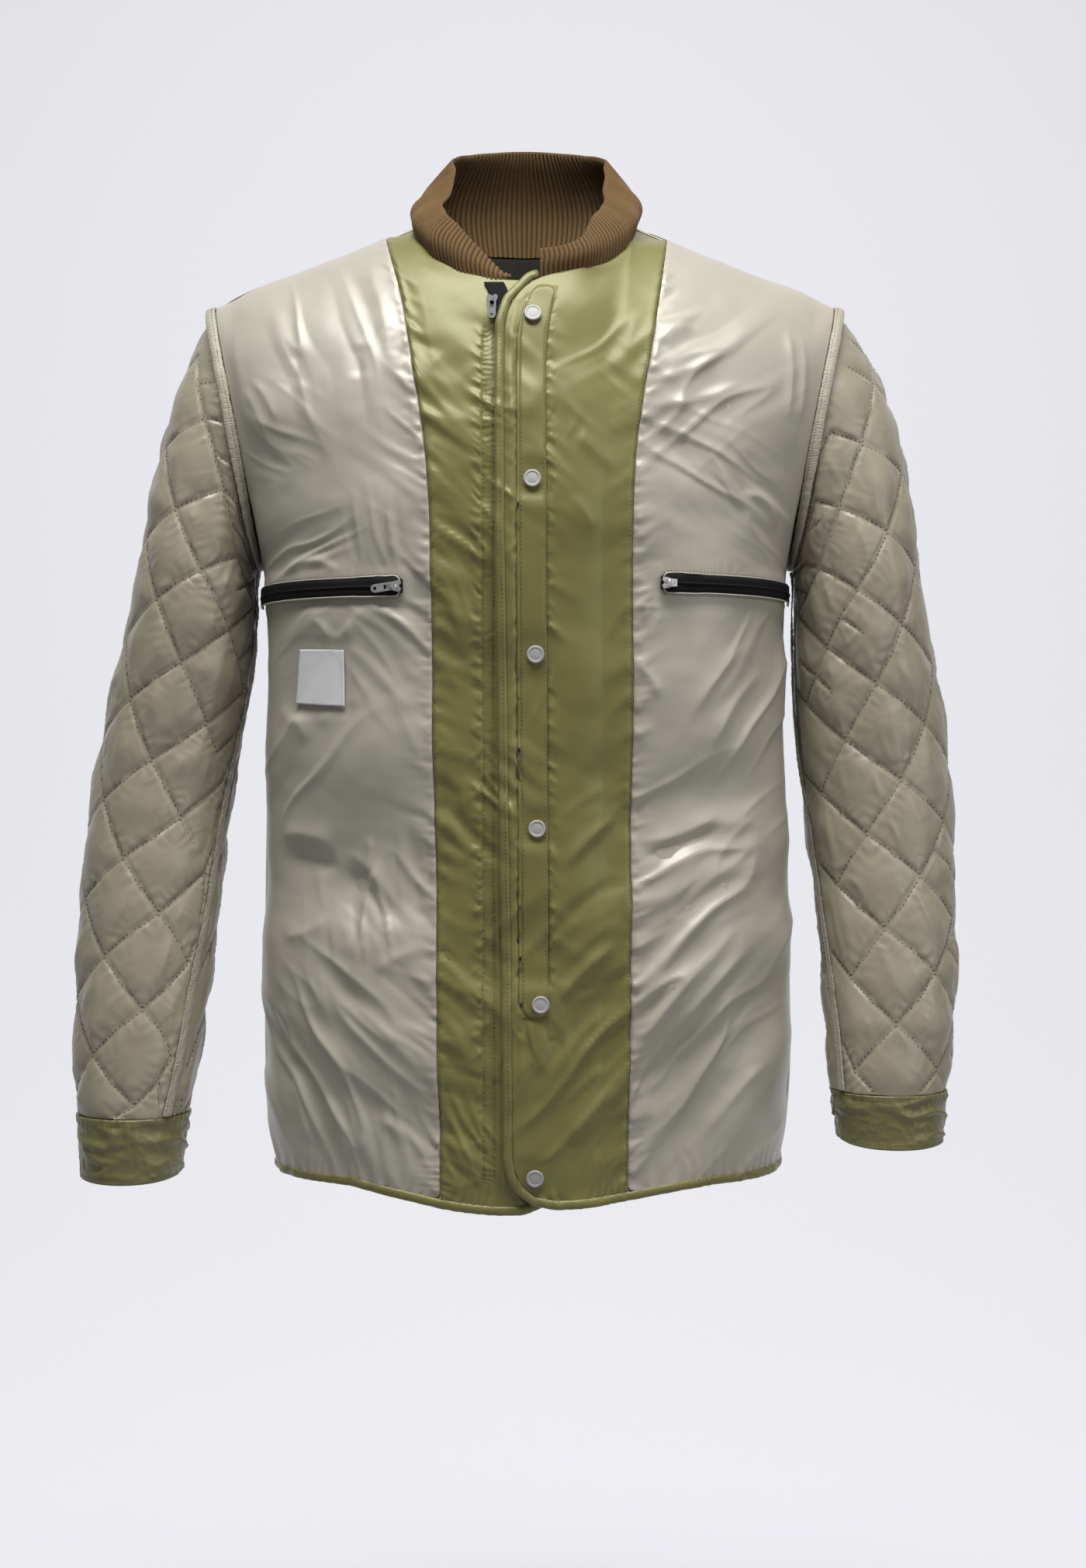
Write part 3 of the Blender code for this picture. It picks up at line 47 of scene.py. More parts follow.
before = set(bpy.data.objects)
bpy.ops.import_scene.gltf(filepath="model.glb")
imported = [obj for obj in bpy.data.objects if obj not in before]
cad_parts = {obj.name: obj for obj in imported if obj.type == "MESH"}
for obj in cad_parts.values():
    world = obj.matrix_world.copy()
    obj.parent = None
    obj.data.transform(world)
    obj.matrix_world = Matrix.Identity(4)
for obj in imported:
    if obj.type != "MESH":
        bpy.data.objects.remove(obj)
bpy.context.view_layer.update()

MM = 0.001
TURN = 2 * math.pi
SIDES = ("right", "left")
SIGN = {"right": -1, "left": 1}
BODY = "jacket"

# Least angle of the quilting's valleys, in degrees, angles from which cloth and metal look
# sharp, and radii of the cords along the shoulders, the strip and the pockets

VALLEY_ANGLE = 13
SHARP_CLOTH, SHARP_METAL = math.radians(52), math.radians(38)
SEAM_CORD, STRIP_CORD, LIP_CORD, COIL_CORD = 0.0011, 0.0013, 0.00055, 0.0010

# Places of the front, in millimetres: the band over the zip, the edge that its gathers leave and
# its two stitched lines, and the heights of the pockets' tapes

BAND_LEFT, BAND_RIGHT = -30, -18
BAND_TOP, BAND_FOOT = -92, -700
BAND_EDGE = -28.6
BAND_SEAMS = (-27.9, -20.4)
TAPE_HEIGHTS = {"right": -278, "left": -275}

# Ends of the rows of stitches, in metres: heights beside the facings' seams, along the band and
# along the overlap, and places across along the hem

FACING_ROW = (-0.690, -0.020)
BAND_ROW = (-0.695, -0.088)
OVERLAP_ROW = (-0.655, -0.085)
HEM_ROW = (-0.172, 0.168)

# Other places, in metres: the hem lies below its top and the shoulders over their foot, the
# facings are cut finer between two places across, and a sleeve hangs this far from the middle

HEM_TOP, SHOULDER_FOOT = -0.62, -0.12
FINE_FACING = (-0.037, 0.023)
SLEEVE_ACROSS = 0.26

# Shares by which the heights in the next tables are raised

TRAIN_STRENGTH, FOLD_STRENGTH = 2.3, 1.25

# Wrinkles, in millimetres: the middle of a patch across and up, its reach along the wrinkles and
# across them, their angle from the horizontal in degrees, pitch and height

Train = namedtuple("Train", "x z along across angle pitch height")
TRAINS = [Train(*row) for row in (
    (-131, -125, 60, 70, -70, 26, 1.6),
    (-180, -164, 35, 30, -35, 14, 0.9),
    (-157, -252, 38, 18, 18, 13, 1.5),
    (-97, -244, 30, 26, -82, 12, 1.1),
    (-91, -322, 45, 40, -50, 18, 1.7),
    (-148, -312, 30, 25, 45, 13, 0.9),
    (-150, -400, 50, 40, 55, 24, 1.6),
    (-104, -500, 40, 40, -80, 15, 1.7),
    (-155, -633, 75, 50, -66, 20, 2.8),
    (-104, -580, 60, 50, -42, 26, 2.6),
    (-91, -661, 35, 45, -68, 17, 1.8),
    (-44, -153, 38, 72, -38, 15, 1.5),
    (-44, -270, 34, 80, -48, 18, 1.9),
    (-40, -453, 32, 85, -46, 18, 2.1),
    (-40, -580, 32, 60, -40, 17, 2.0),
    (-42, -655, 26, 36, -60, 15, 1.8),
    (-7, -150, 9, 110, 62, 10, 0.6),
    (-7, -350, 9, 90, 65, 13, 0.35),
    (28, -180, 22, 75, -38, 15, 0.7),
    (51, -344, 70, 45, 62, 26, 1.2),
    (47, -517, 65, 52, 42, 28, 2.2),
    (38, -633, 48, 48, 48, 24, 2.0),
    (13, -591, 22, 22, -75, 11, 1.2),
    (117, -125, 72, 55, 42, 24, 2.0),
    (113, -189, 50, 35, -25, 22, 1.4),
    (157, -217, 40, 26, -35, 16, 1.5),
    (82, -282, 18, 26, 12, 9, 0.8),
    (168, -344, 60, 32, 62, 20, 2.0),
    (117, -453, 60, 42, 25, 28, 2.6),
    (113, -549, 90, 62, 46, 25, 3.4),
    (142, -623, 75, 55, 52, 23, 3.0),
    (91, -655, 50, 42, 50, 19, 2.0),
)]
BACK_TRAINS = [Train(*row) for row in (
    (-110, -190, 70, 60, 50, 26, 3.2),
    (110, -190, 70, 60, -50, 26, 3.2),
    (0, -330, 90, 90, 84, 30, 2.4),
    (-110, -480, 90, 80, -60, 26, 3.6),
    (110, -480, 90, 80, 60, 26, 3.6),
    (0, -610, 80, 90, 78, 24, 3.0),
)]

# Single folds, in millimetres: their two ends across and up, bend, width and height

Fold = namedtuple("Fold", "x0 z0 x1 z1 bend width height")
SINGLE_FOLDS = [Fold(*row) for row in (
    (8, -588, 67, -524, 4, 3.6, 1.7),
    (13, -626, 67, -567, 4, 3.4, 1.8),
    (24, -642, 64, -610, 3, 2.8, 1.4),
    (13, -534, 46, -508, 2, 2.6, 1.2),
    (24, -481, 67, -438, 3, 3.2, 1.3),
    (24, -443, 62, -416, 2, 2.8, 1.0),
    (30, -560, 72, -545, -3, 2.6, -1.2),
    (28, -665, 70, -640, 2, 2.6, 1.3),
    (-179, -271, -127, -270, 11, 3.5, 1.6),
    (-93, -227, -92, -262, 1, 2.5, 1),
    (-149, -299, -134, -320, 2, 3, 1.2),
    (-134, -320, -119, -301, -2, 3, 1.1),
    (-125, -329, -113, -293, 2, 3.5, 1.4),
    (-104, -290, -76, -318, 3, 3.5, 1.4),
    (-178, -469, -131, -478, 3, 9, -3.2),
    (-134, -475, -91, -523, 5, 8, -2.8),
    (-178, -453, -134, -460, 3, 9, 2.6),
    (-131, -462, -90, -508, 5, 7, 1.8),
    (-110, -453, -113, -481, 1, 2.5, 1.1),
    (-113, -504, -123, -559, 3, 3, 1.6),
    (-123, -566, -66, -623, 4, 5, 2),
    (-169, -623, -153, -676, 2, 4.5, 2),
    (-142, -634, -123, -685, 3, 4.5, 1.9),
    (-163, -106, -164, -139, 1, 6, -1.2),
    (-116, -106, -117, -134, 1, 6, -1.2),
    (-87, -100, -88, -138, 1, 5, -1),
    (-201, -132, -182, -175, 3, 4, 1.2),
    (-195, -127, -173, -164, 3, 3.5, 1),
    (-173, -360, -152, -390, 4, 6, 1.5),
    (-147, -376, -110, -357, 4, 7, 1.4),
    (-174, -526, -137, -510, -4, 6, 1.6),
    (-105, -551, -68, -532, 4, 6, 1.5),
    (-94, -352, -70, -406, 3, 5, 1.2),
    (-174, -572, -163, -615, 2, 4, 1.4),
    (-105, -647, -64, -679, 3, 5, 1.4),
    (24, -546, 70, -508, 3, 5, 1.7),
    (19, -576, 66, -525, 4, 5, 1.7),
    (9, -640, 51, -591, 4, 5, 1.6),
    (23, -515, 71, -482, 3, 4, -1.6),
    (27, -475, 73, -433, 4, 5, 1.4),
    (29, -663, 70, -626, 3, 5, 1.4),
    (32, -175, 67, -206, 3, 5, 1.1),
    (30, -218, 51, -245, 2, 4, 1),
    (-11, -581, -19, -621, 1, 3, 1),
    (-1, -582, -4, -628, 1, 3, 1.1),
    (9, -581, 16, -620, -1, 3, 1),
    (-23, -577, -40, -596, 2, 3, 1.2),
    (8, -691, 23, -705, 3, 3, 1),
    (85, -138, 142, -110, -3, 5, 2.1),
    (87, -155, 157, -132, -4, 5, 2),
    (95, -112, 119, -91, 2, 5, 1.7),
    (151, -212, 181, -237, 9, 4.5, 1.9),
    (190, -84, 188, -159, 2, 3.5, 1.3),
    (200, -89, 197, -164, 2, 3.5, 1.1),
    (95, -282, 79, -298, -2, 2.5, 1.2),
    (95, -285, 81, -307, -2, 2.5, 1.1),
    (95, -281, 75, -287, -1, 2.5, 1.1),
    (130, -397, 172, -333, 5, 5, 2),
    (115, -374, 161, -315, 5, 6, 1.6),
    (77, -468, 146, -443, -5, 6, -2.5),
    (77, -459, 145, -434, -5, 5, 1.7),
    (72, -612, 151, -517, 6, 5.5, 2.3),
    (75, -636, 166, -526, 7, 5.5, 2.3),
    (78, -577, 137, -497, 5, 5.5, 2.1),
    (94, -663, 174, -567, 7, 5.5, 2.1),
    (121, -674, 180, -610, 5, 5, 1.9),
    (75, -331, 94, -360, 3, 4, 1.3),
)]

# Small folds that leave a seam, in millimetres: the seam, from and to height, the side they go
# to, their lean in degrees, pitch, length, width and height

Gather = namedtuple("Gather", "line low high toward lean pitch length width height")
GATHERS = [Gather(*row) for row in (
    ("zip band", -690, -300, -1, -28, 21, 24, 3.0, 1.1),
    ("zip band", -690, -300, -1, 22, 33, 20, 2.6, 0.8),
    ("right seam", -700, -45, 1, -36, 8, 19, 1.9, 1.15),
    ("right seam", -690, -90, 1, -33, 15, 46, 4.2, 2.3),
    ("right seam", -700, -45, -1, 30, 7, 13, 1.8, 0.95),
    ("right seam", -700, -100, -1, 34, 26, 36, 4.2, 1.7),
    ("left seam", -700, -45, 1, 34, 8, 16, 1.9, 1.05),
    ("left seam", -690, -90, 1, 38, 26, 40, 4.2, 1.8),
    ("left seam", -690, -60, -1, -40, 11, 15, 2.0, 0.9),
    ("left seam", -690, -200, -1, -46, 34, 42, 4.4, 1.7),
    ("zip band", -605, -100, -1, 40, 5.5, 13, 1.7, 1.1),
    ("strip right", -590, -80, 1, -38, 11, 16, 2.0, 0.95),
    ("strip right", -590, -120, 1, -42, 38, 36, 4.0, 1.3),
    ("strip left", -590, -80, -1, -62, 8, 14, 2.0, 1.1),
)]

# Broad swells and hollows of the front, in millimetres: the middle across and up, half width,
# half height and height

Hollow = namedtuple("Hollow", "x z wide tall height")
HOLLOWS = [Hollow(*row) for row in (
    (-112, -400, 58, 42, 4.2),
    (-112, -476, 60, 46, -7.4),
    (-115, -548, 60, 46, 3.0),
    (118, -436, 58, 44, -4.4),
    (125, -352, 50, 36, 1.8),
    (112, -505, 58, 44, 2.4),
    (0, -560, 60, 55, -3.0),
    (5, -470, 60, 50, 1.5),
    (-90, -650, 60, 30, -2.0),
    (95, -640, 60, 34, -2.0),
)]

# Outline of a snap's cap: share of its radius, and height over its rim in millimetres

CAP_OUTLINE = (
    (0.0, -0.12), (0.25, -0.15), (0.48, -0.25), (0.62, -0.36), (0.68, -0.40), (0.72, -0.16),
    (0.78, -0.02), (0.86, 0.0), (0.93, -0.10), (0.98, -0.42), (1.0, -0.9), (0.97, -1.5),
    (0.90, -2.1))

# A record of the flat size of a cloth as it is cut, in metres: width, length and area

Cut = namedtuple("Cut", "width length area")


def count_setting(name, description, value, most):
    return IntProperty(name=name, description=description, default=value, min=1, max=most)


def strength_setting(name, description, value, most=1000.0):
    return FloatProperty(name=name, description=description, default=value, min=0.0, max=most)


def length_setting(name, description, value):
    return FloatProperty(name=name, description=description, default=value, unit="LENGTH")


def colour_setting(name, description, value):
    return FloatVectorProperty(name=name, description=description, default=value,
                               subtype="COLOR", size=3, min=0, max=1)


class JacketShape(PropertyGroup):
    panel_levels: count_setting("Panel detail", "Subdivisions of the front panels", 4, 5)
    sleeve_levels: count_setting("Sleeve detail", "Subdivisions of the quilted sleeves", 3, 4)
    wrinkles: strength_setting("Wrinkles", "Strength of the front's wrinkles", 1.0, 2.0)
    gathers: strength_setting("Gathers", "Strength of the small folds at the seams", 1.35, 3.0)
    rib_pitch: length_setting("Rib pitch", "Distance between the collar's ribs", 0.0036)
    rib_height: length_setting("Rib height", "Height of the collar's ribs", 0.0013)
    stitch: length_setting("Stitch", "Length of a stitch with its gap", 0.0030)


class JacketColours(PropertyGroup):
    olive: colour_setting("Olive", "Sateen of the facings", (0.160, 0.150, 0.052))
    cuff: colour_setting("Cuff", "Sateen of the cuffs", (0.134, 0.124, 0.042))
    taupe: colour_setting("Taupe", "Sateen of the body", (0.345, 0.322, 0.262))
    quilting: colour_setting("Quilting", "Cloth of the sleeves", (0.270, 0.240, 0.172))
    binding: colour_setting("Seam binding", "Binding of the sleeves' seams", (0.310, 0.285, 0.215))
    edging: colour_setting(
        "Edge binding", "Binding of the hem and the overlap", (0.152, 0.142, 0.050))
    corduroy: colour_setting("Corduroy", "Ribs of the collar", (0.098, 0.056, 0.019))
    tape: colour_setting("Zip tape", "Tapes of the zips", (0.006, 0.006, 0.0065))
    quilting_thread: colour_setting(
        "Quilting thread", "Thread of the sleeves", (0.040, 0.035, 0.016))
    olive_thread: colour_setting(
        "Olive thread", "Thread of the front and cuffs", (0.052, 0.048, 0.014))
    seam_thread: colour_setting("Seam thread", "Thread round the bound seams", (0.17, 0.15, 0.10))
    pocket_thread: colour_setting("Pocket thread", "Thread round the pockets", (0.17, 0.155, 0.11))
    label_thread: colour_setting("Label thread", "Thread round the label", (0.42, 0.42, 0.42))
    label: colour_setting("Label", "Woven label", (0.60, 0.60, 0.60))
    metal: colour_setting("Metal", "Snaps and sliders", (0.52, 0.51, 0.50))
    backdrop: colour_setting("Backdrop", "Floor and wall", (0.42, 0.42, 0.44))


class JacketStudio(PropertyGroup):
    camera_across: length_setting("Camera across", "Place of the camera across", 0.0134)
    camera_distance: length_setting("Camera distance", "From the neck to the camera", 1.5)
    camera_height: length_setting("Camera height", "Height of the camera from the neck", -0.417)
    focal_length: FloatProperty(
        name="Focal length", description="Lens, in millimetres", default=45.8, unit="CAMERA")
    key: strength_setting("Key light", "Power of the main light", 84.0)
    fill: strength_setting("Fill light", "Power of the second light", 12.0)
    top: strength_setting("Top light", "Power of the light above", 14.0)
    sky: strength_setting("Sky", "Strength of the light all round", 0.11)


def shape():
    return bpy.context.scene.jacket_shape


def colours():
    return bpy.context.scene.jacket_colours


def studio():
    return bpy.context.scene.jacket_studio


# Sums over many places at once

def smooth(value):
    value = np.clip(value, 0.0, 1.0)
    return value * value * (3 - 2 * value)


def rough(u, v, seed=0):
    """Smooth random heights from -1 to 1, one for each pair of places in u and v."""
    i, j = np.floor(u).astype(np.int64), np.floor(v).astype(np.int64)
    su, sv = smooth(u - i), smooth(v - j)

    def corner(a, b):
        mixed = (a * 374761393 + b * 668265263 + seed * 974711) & 0xFFFFFFFF
        mixed = ((mixed ^ (mixed >> 13)) * 1274126177) & 0xFFFFFFFF
        return ((mixed ^ (mixed >> 16)) & 0xFFFF) / 32767.5 - 1.0

    low = corner(i, j) * (1 - su) + corner(i + 1, j) * su
    high = corner(i, j + 1) * (1 - su) + corner(i + 1, j + 1) * su
    return low * (1 - sv) + high * sv


def ridges(u, v, seed=0):
    """Long narrow crests along u, from about -0.4 to 1."""
    plain = rough(u, v, seed) + 0.35 * rough(u * 2.1, v * 2.3, seed + 50)
    return np.clip(1.0 - np.abs(plain) * 1.9, 0.0, 1.0) ** 1.5 - 0.3


def waves(u, v, seed=0):
    """Rounded waves along u with some sharper crests."""
    return 0.62 * ridges(u, v, seed) + 0.62 * rough(u * 0.8, v * 0.85, seed + 9)


def bell(distance, width):
    return np.exp(-(distance / width) ** 2)


def swing(beat):
    """A wave between -1 and 1, one for each beat."""
    return np.sin(TURN * beat)


def unit(vectors):
    """Vectors with a length of one in the same directions."""
    return vectors / np.maximum(np.linalg.norm(vectors, axis=-1, keepdims=True), 1e-9)


def smoothed(line, rounds):
    """A line of points drawn smoother between its ends."""
    for _ in range(rounds):
        line[1:-1] = (line[:-2] + 2 * line[1:-1] + line[2:]) / 4
    return line


def in_steps(points, axis, step):
    """Points in one group for each step along an axis, from low to high."""
    keys = np.round(points[:, axis] / step)
    return [points[keys == k] for k in np.unique(keys)]


def point_tree(points):
    tree = KDTree(len(points))
    for k, point in enumerate(points):
        tree.insert(point, k)
    tree.balance()
    return tree


def in_train(train, x, z):
    """Distances along and across a patch of wrinkles, and its share of their height."""
    turn = math.radians(train.angle)
    c, s = math.cos(turn), math.sin(turn)
    along = (x - train.x) * c + (z - train.z) * s
    across = (z - train.z) * c - (x - train.x) * s
    window = np.exp(-np.abs(along / train.along) ** 3 - np.abs(across / train.across) ** 3)
    return along, across, window


# Reading the solids

def node_mesh(node, valley=None):
    """A solid as a bmesh of four-sided faces; edges that fold inwards by more than the
    valley angle stay, marked as sharp.
    """
    bm = bmesh.new()
    bm.from_mesh(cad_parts[node].data)
    bmesh.ops.remove_doubles(bm, verts=bm.verts, dist=1e-5)
    bm.normal_update()
    if valley is not None:
        for e in bm.edges:
            e.smooth = e.calc_face_angle_signed(0.0) > -math.radians(valley)
    bmesh.ops.join_triangles(
        bm, faces=bm.faces, angle_face_threshold=math.radians(70), cmp_sharp=valley is not None,
        angle_shape_threshold=math.radians(80), topology_influence=1.0)
    bm.normal_update()
    return bm


def sort_faces(bm, away, reach):
    """The faces of a wall: outer skin, inner skin, and the edge between them."""
    tree = BVHTree.FromBMesh(bm)
    outer, inner, edge = [], [], []
    for face in bm.faces:
        centre, normal = face.calc_center_median(), face.normal
        hit = tree.ray_cast(centre - normal * 0.0004, -normal, reach)[0]
        if hit is None:
            edge.append(face)
        elif normal.dot(away(centre)) > 0:
            outer.append(face)
        else:
            inner.append(face)
    return outer, inner, edge


def subdivided(bm, name, levels, kind="CATMULL_CLARK"):
    """A mesh of the bmesh after rounding, which ends the bmesh."""
    mesh = bpy.data.meshes.new(name)
    bm.to_mesh(mesh)
    bm.free()
    draft = bpy.data.objects.new(name, mesh)
    bpy.context.collection.objects.link(draft)
    modifier = draft.modifiers.new("Rounding", "SUBSURF")
    modifier.levels = modifier.render_levels = levels
    modifier.subdivision_type = kind
    modifier.boundary_smooth = "PRESERVE_CORNERS"
    made = bpy.data.meshes.new_from_object(
        draft.evaluated_get(bpy.context.evaluated_depsgraph_get()))
    bpy.data.objects.remove(draft)
    bpy.data.meshes.remove(mesh)
    return made


def skins(node, away, levels, inside_levels=1, reach=0.0085, valleys=None, kind="CATMULL_CLARK"):
    """Rounded outer skin with its edge, and rounded inner skin, of a wall."""
    made = []
    for part, level in (("outer", levels), ("inner", inside_levels)):
        bm = node_mesh(node, None if valleys is None else VALLEY_ANGLE)
        outer, inner, edge = sort_faces(bm, away, reach)
        crease = bm.edges.layers.float.new("crease_edge")
        rim = set(edge)
        for e in bm.edges:
            if any(f in rim for f in e.link_faces) and any(f not in rim for f in e.link_faces):
                e[crease] = 1.0
        if part == "outer" and valleys is not None:
            for e in valley_edges(outer, rim):
                e[crease] = 0.9
                valleys.append([tuple(v.co) for v in e.verts])
        dropped = inner if part == "outer" else outer + edge
        bmesh.ops.delete(bm, geom=dropped, context="FACES")
        made.append(subdivided(bm, f"{node}_{part}", level, kind))
    return made


def valley_edges(outer, rim):
    """Edges where the outer skin folds inwards, which are the quilting's lines."""
    skin = set(outer)
    found = []
    for e in dict.fromkeys(e for f in outer for e in f.edges if not e.smooth):
        if all(f in skin for f in e.link_faces) and e.calc_length() > 0.004:
            if not all(any(f in rim for f in v.link_faces) for v in e.verts):
                found.append(e)
    return found


def read(mesh, key):
    values = np.empty(len(mesh.vertices) * 3)
    mesh.vertices.foreach_get(key, values)
    return values.reshape(-1, 3)


def places(mesh):
    return read(mesh, "co")


def facings(mesh):
    return read(mesh, "normal")


def put_places(mesh, co):
    mesh.vertices.foreach_set("co", np.asarray(co, dtype=np.float32).ravel())
    mesh.update()


def corners(node):
    return np.array([v.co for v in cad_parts[node].data.vertices])


def box_of(node):
    low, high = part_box(node)
    return np.array(low), np.array(high)


def shared_line(node, neighbour):
    """Corners of one solid along its seam with another, sorted from low to high."""
    tree = point_tree(corners(neighbour))
    line = np.array([p for p in corners(node) if tree.find(p)[2] < 0.0008])
    return line[np.argsort(line[:, 2])]


def seam_points(node, neighbour=None, step=0.003):
    """Points along a solid's edges, or along those it shares with another."""
    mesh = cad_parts[node].data
    near = set(range(len(mesh.vertices)))
    if neighbour:
        tree = point_tree(corners(neighbour))
        near = {v.index for v in mesh.vertices if tree.find(v.co)[2] < 0.0009}
    spots = []
    for e in mesh.edges:
        if all(k in near for k in e.vertices):
            a, b = (mesh.vertices[k].co for k in e.vertices)
            count = max(1, int((b - a).length / step))
            spots += [a.lerp(b, k / count) for k in range(count + 1)]
    return spots


def outer_line(points, step=0.004):
    """One point for each height: the one that lies furthest forward."""
    return np.array([group[np.argmin(group[:, 1])] for group in in_steps(points, 2, step)])


def strip_edges(node, step=0.006, narrowest=0.012):
    """Heights along a narrow upright piece, with its left and right edges there."""
    low, high = box_of(node)
    z = np.arange(low[2] + 0.002, high[2] - 0.004, 0.004)
    rows = np.array([(np.round(group[0, 2] / step) * step, group[:, 0].min(), group[:, 0].max())
                     for group in in_steps(corners(node), 2, step)])
    rows = rows[rows[:, 2] - rows[:, 1] > narrowest]
    return z, np.interp(z, rows[:, 0], rows[:, 1]), np.interp(z, rows[:, 0], rows[:, 2])


# Heights of the front's folds

def is_snap(node):
    return node.startswith("snap_") and node != "snap_strip"


@lru_cache(maxsize=1)
def front_relief():
    return FrontRelief()


def body_out(co):
    """Direction off the body at each place."""
    out = np.stack([co[:, 0] * 0.35, co[:, 1], np.maximum(0.0, co[:, 2] + 0.11) * 0.9], axis=1)
    return unit(out)


def raised(co, height):
    """Places moved off the body by a height each."""
    return co + body_out(co) * height[:, None]


class FrontRelief:
    """Relief of the whole front, the same for every cloth that lies there."""

    def __init__(self):
        self.seams = {side: outer_line(shared_line(f"facing_{side}", f"front_{side}"))
                      for side in SIDES}
        self.quiet = []
        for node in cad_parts:
            if is_snap(node) or "slider" in node:
                self.quiet.append((*box_of(node), 0.0))
            elif node == "label" or node.startswith("pocket_zip"):
                self.quiet.append((*box_of(node), 0.25))
        self.strip = [line / MM for line in strip_edges("snap_strip")]
        self.gathers = self.make_gathers()
        co = corners("edge_binding")
        self.hems = {}
        for name, part in (("front", co[co[:, 1] < 0.004]), ("back", co[co[:, 1] > -0.004])):
            groups = in_steps(part[part[:, 2] < HEM_TOP], 0, 0.012)
            self.hems[name] = np.array([group[np.argmin(group[:, 2])] for group in groups])
        spots = []
        for side in SIDES:
            spots += seam_points(f"front_{side}", "back") + seam_points(f"facing_{side}", "back")
            spots += seam_points(f"armhole_seam_{side}")
        self.still = point_tree(spots + seam_points("collar"))

    def make_gathers(self):
        """Small folds that start at the seams, from the table of gathers."""
        lines = {"right seam": lambda z: self.seam_x("right", z * MM) / MM,
                 "left seam": lambda z: self.seam_x("left", z * MM) / MM,
                 "zip band": lambda z: BAND_EDGE,
                 "strip left": lambda z: np.interp(z, self.strip[0], self.strip[1]),
                 "strip right": lambda z: np.interp(z, self.strip[0], self.strip[2])}
        made = []
        for k, row in enumerate(GATHERS):
            luck = np.random.default_rng(40 + k)
            z = row.low
            while z < row.high:
                turn = math.radians(row.lean + luck.uniform(-14, 14))
                made.append((
                    float(lines[row.line](z)), z, row.toward * math.cos(turn), math.sin(turn),
                    row.length * luck.uniform(0.4, 1.5), row.width * luck.uniform(0.7, 1.4),
                    row.height * luck.choice((1.0, 0.8, 0.6, -0.7))))
                z += row.pitch * luck.uniform(0.5, 1.5)
        return made

    def gathered(self, x, z):
        """Height of the small folds that start at the seams, in millimetres."""
        height = np.zeros(len(x))
        for px, pz, cx, cz, length, width, high in self.gathers:
            near = np.where((np.abs(z - pz) < length + 5) & (np.abs(x - px) < length + 5))[0]
            if len(near):
                u, v = x[near] - px, z[near] - pz
                share = (u * cx + v * cz) / length
                across = np.abs(v * cx - u * cz) / (width * (0.6 + 0.8 * np.clip(share, 0, 1)))
                body = smooth(share / 0.14) * np.clip(1 - share, 0, 1) ** 1.2
                height[near] += high * body * np.exp(-across ** 1.4)
        return height

    def seam_x(self, side, z):
        line = self.seams[side]
        return np.interp(z, line[:, 2], line[:, 0])

    def hem_z(self, x, name="front"):
        hem = self.hems[name]
        return np.interp(x, hem[:, 0], hem[:, 2])

    def hem_puckers(self, x, z, name, height, reach):
        """Puckers above the hem, in millimetres."""
        above = z - self.hem_z(x * MM, name) / MM - 6
        beat = x / 8.2 + 1.5 * rough(x / 23, z / 30, 95)
        return swing(beat) * height * np.exp(-np.abs(above) / reach)

    def fade(self, co):
        """From 0 at the seams of the shoulders, sides, armholes and collar to 1 away from them."""
        gap = np.array([self.still.find(p)[2] for p in co])
        return smooth((gap - 0.0015) / 0.013)

    def tuck_in(self, co, name="front"):
        """The cloth's lower edge drawn down into the binding."""
        above = co[:, 2] - self.hem_z(co[:, 0], name)
        co = co.copy()
        co[:, 2] -= 0.0014 * smooth(1 - (above - 0.004) / 0.004)
        return co

    def __call__(self, co):
        """Height of the relief at each place, in metres."""
        x, z = co[:, 0] / MM, co[:, 2] / MM
        height = np.zeros(len(co))
        for k, train in enumerate(TRAINS):
            along, across, window = in_train(train, x, z)
            bend = 7 * rough(along / 38, across / 60, k + 7)
            wave = waves(along / (train.pitch * 5.0) + 0.37 * k, (across + bend) / train.pitch, k)
            height += window * wave * train.height * TRAIN_STRENGTH
        for fold in SINGLE_FOLDS:
            run = np.array([fold.x1 - fold.x0, fold.z1 - fold.z0], float)
            length = np.hypot(*run)
            run /= length
            along = ((x - fold.x0) * run[0] + (z - fold.z0) * run[1]) / length
            across = (z - fold.z0) * run[0] - (x - fold.x0) * run[1]
            across -= fold.bend * (1 - (2 * along - 1) ** 2)
            taper = smooth(along / 0.3) * smooth((1 - along) / 0.3)
            shape_across = np.exp(-np.abs(across / fold.width) ** 1.5)
            height += FOLD_STRENGTH * fold.height * taper * shape_across
        for hollow in HOLLOWS:
            height += hollow.height * np.exp(-((x - hollow.x) / hollow.wide) ** 2
                                             - ((z - hollow.z) / hollow.tall) ** 2)
        height += 0.20 * rough(x / 12, z / 10, 3) + 2.2 * rough(x / 46, z / 38, 4)
        height += shape().gathers * self.gathered(x, z)
        height *= shape().wrinkles
        height += self.seam_relief(x, z)
        height *= MM
        for low, high, least in self.quiet:
            beside = np.maximum(np.maximum(low - co, co - high), 0.0)
            gap = np.hypot(beside[:, 0], beside[:, 2])
            height *= least + (1 - least) * smooth((gap - 0.0012) / 0.010)
        return height * self.fade(co)

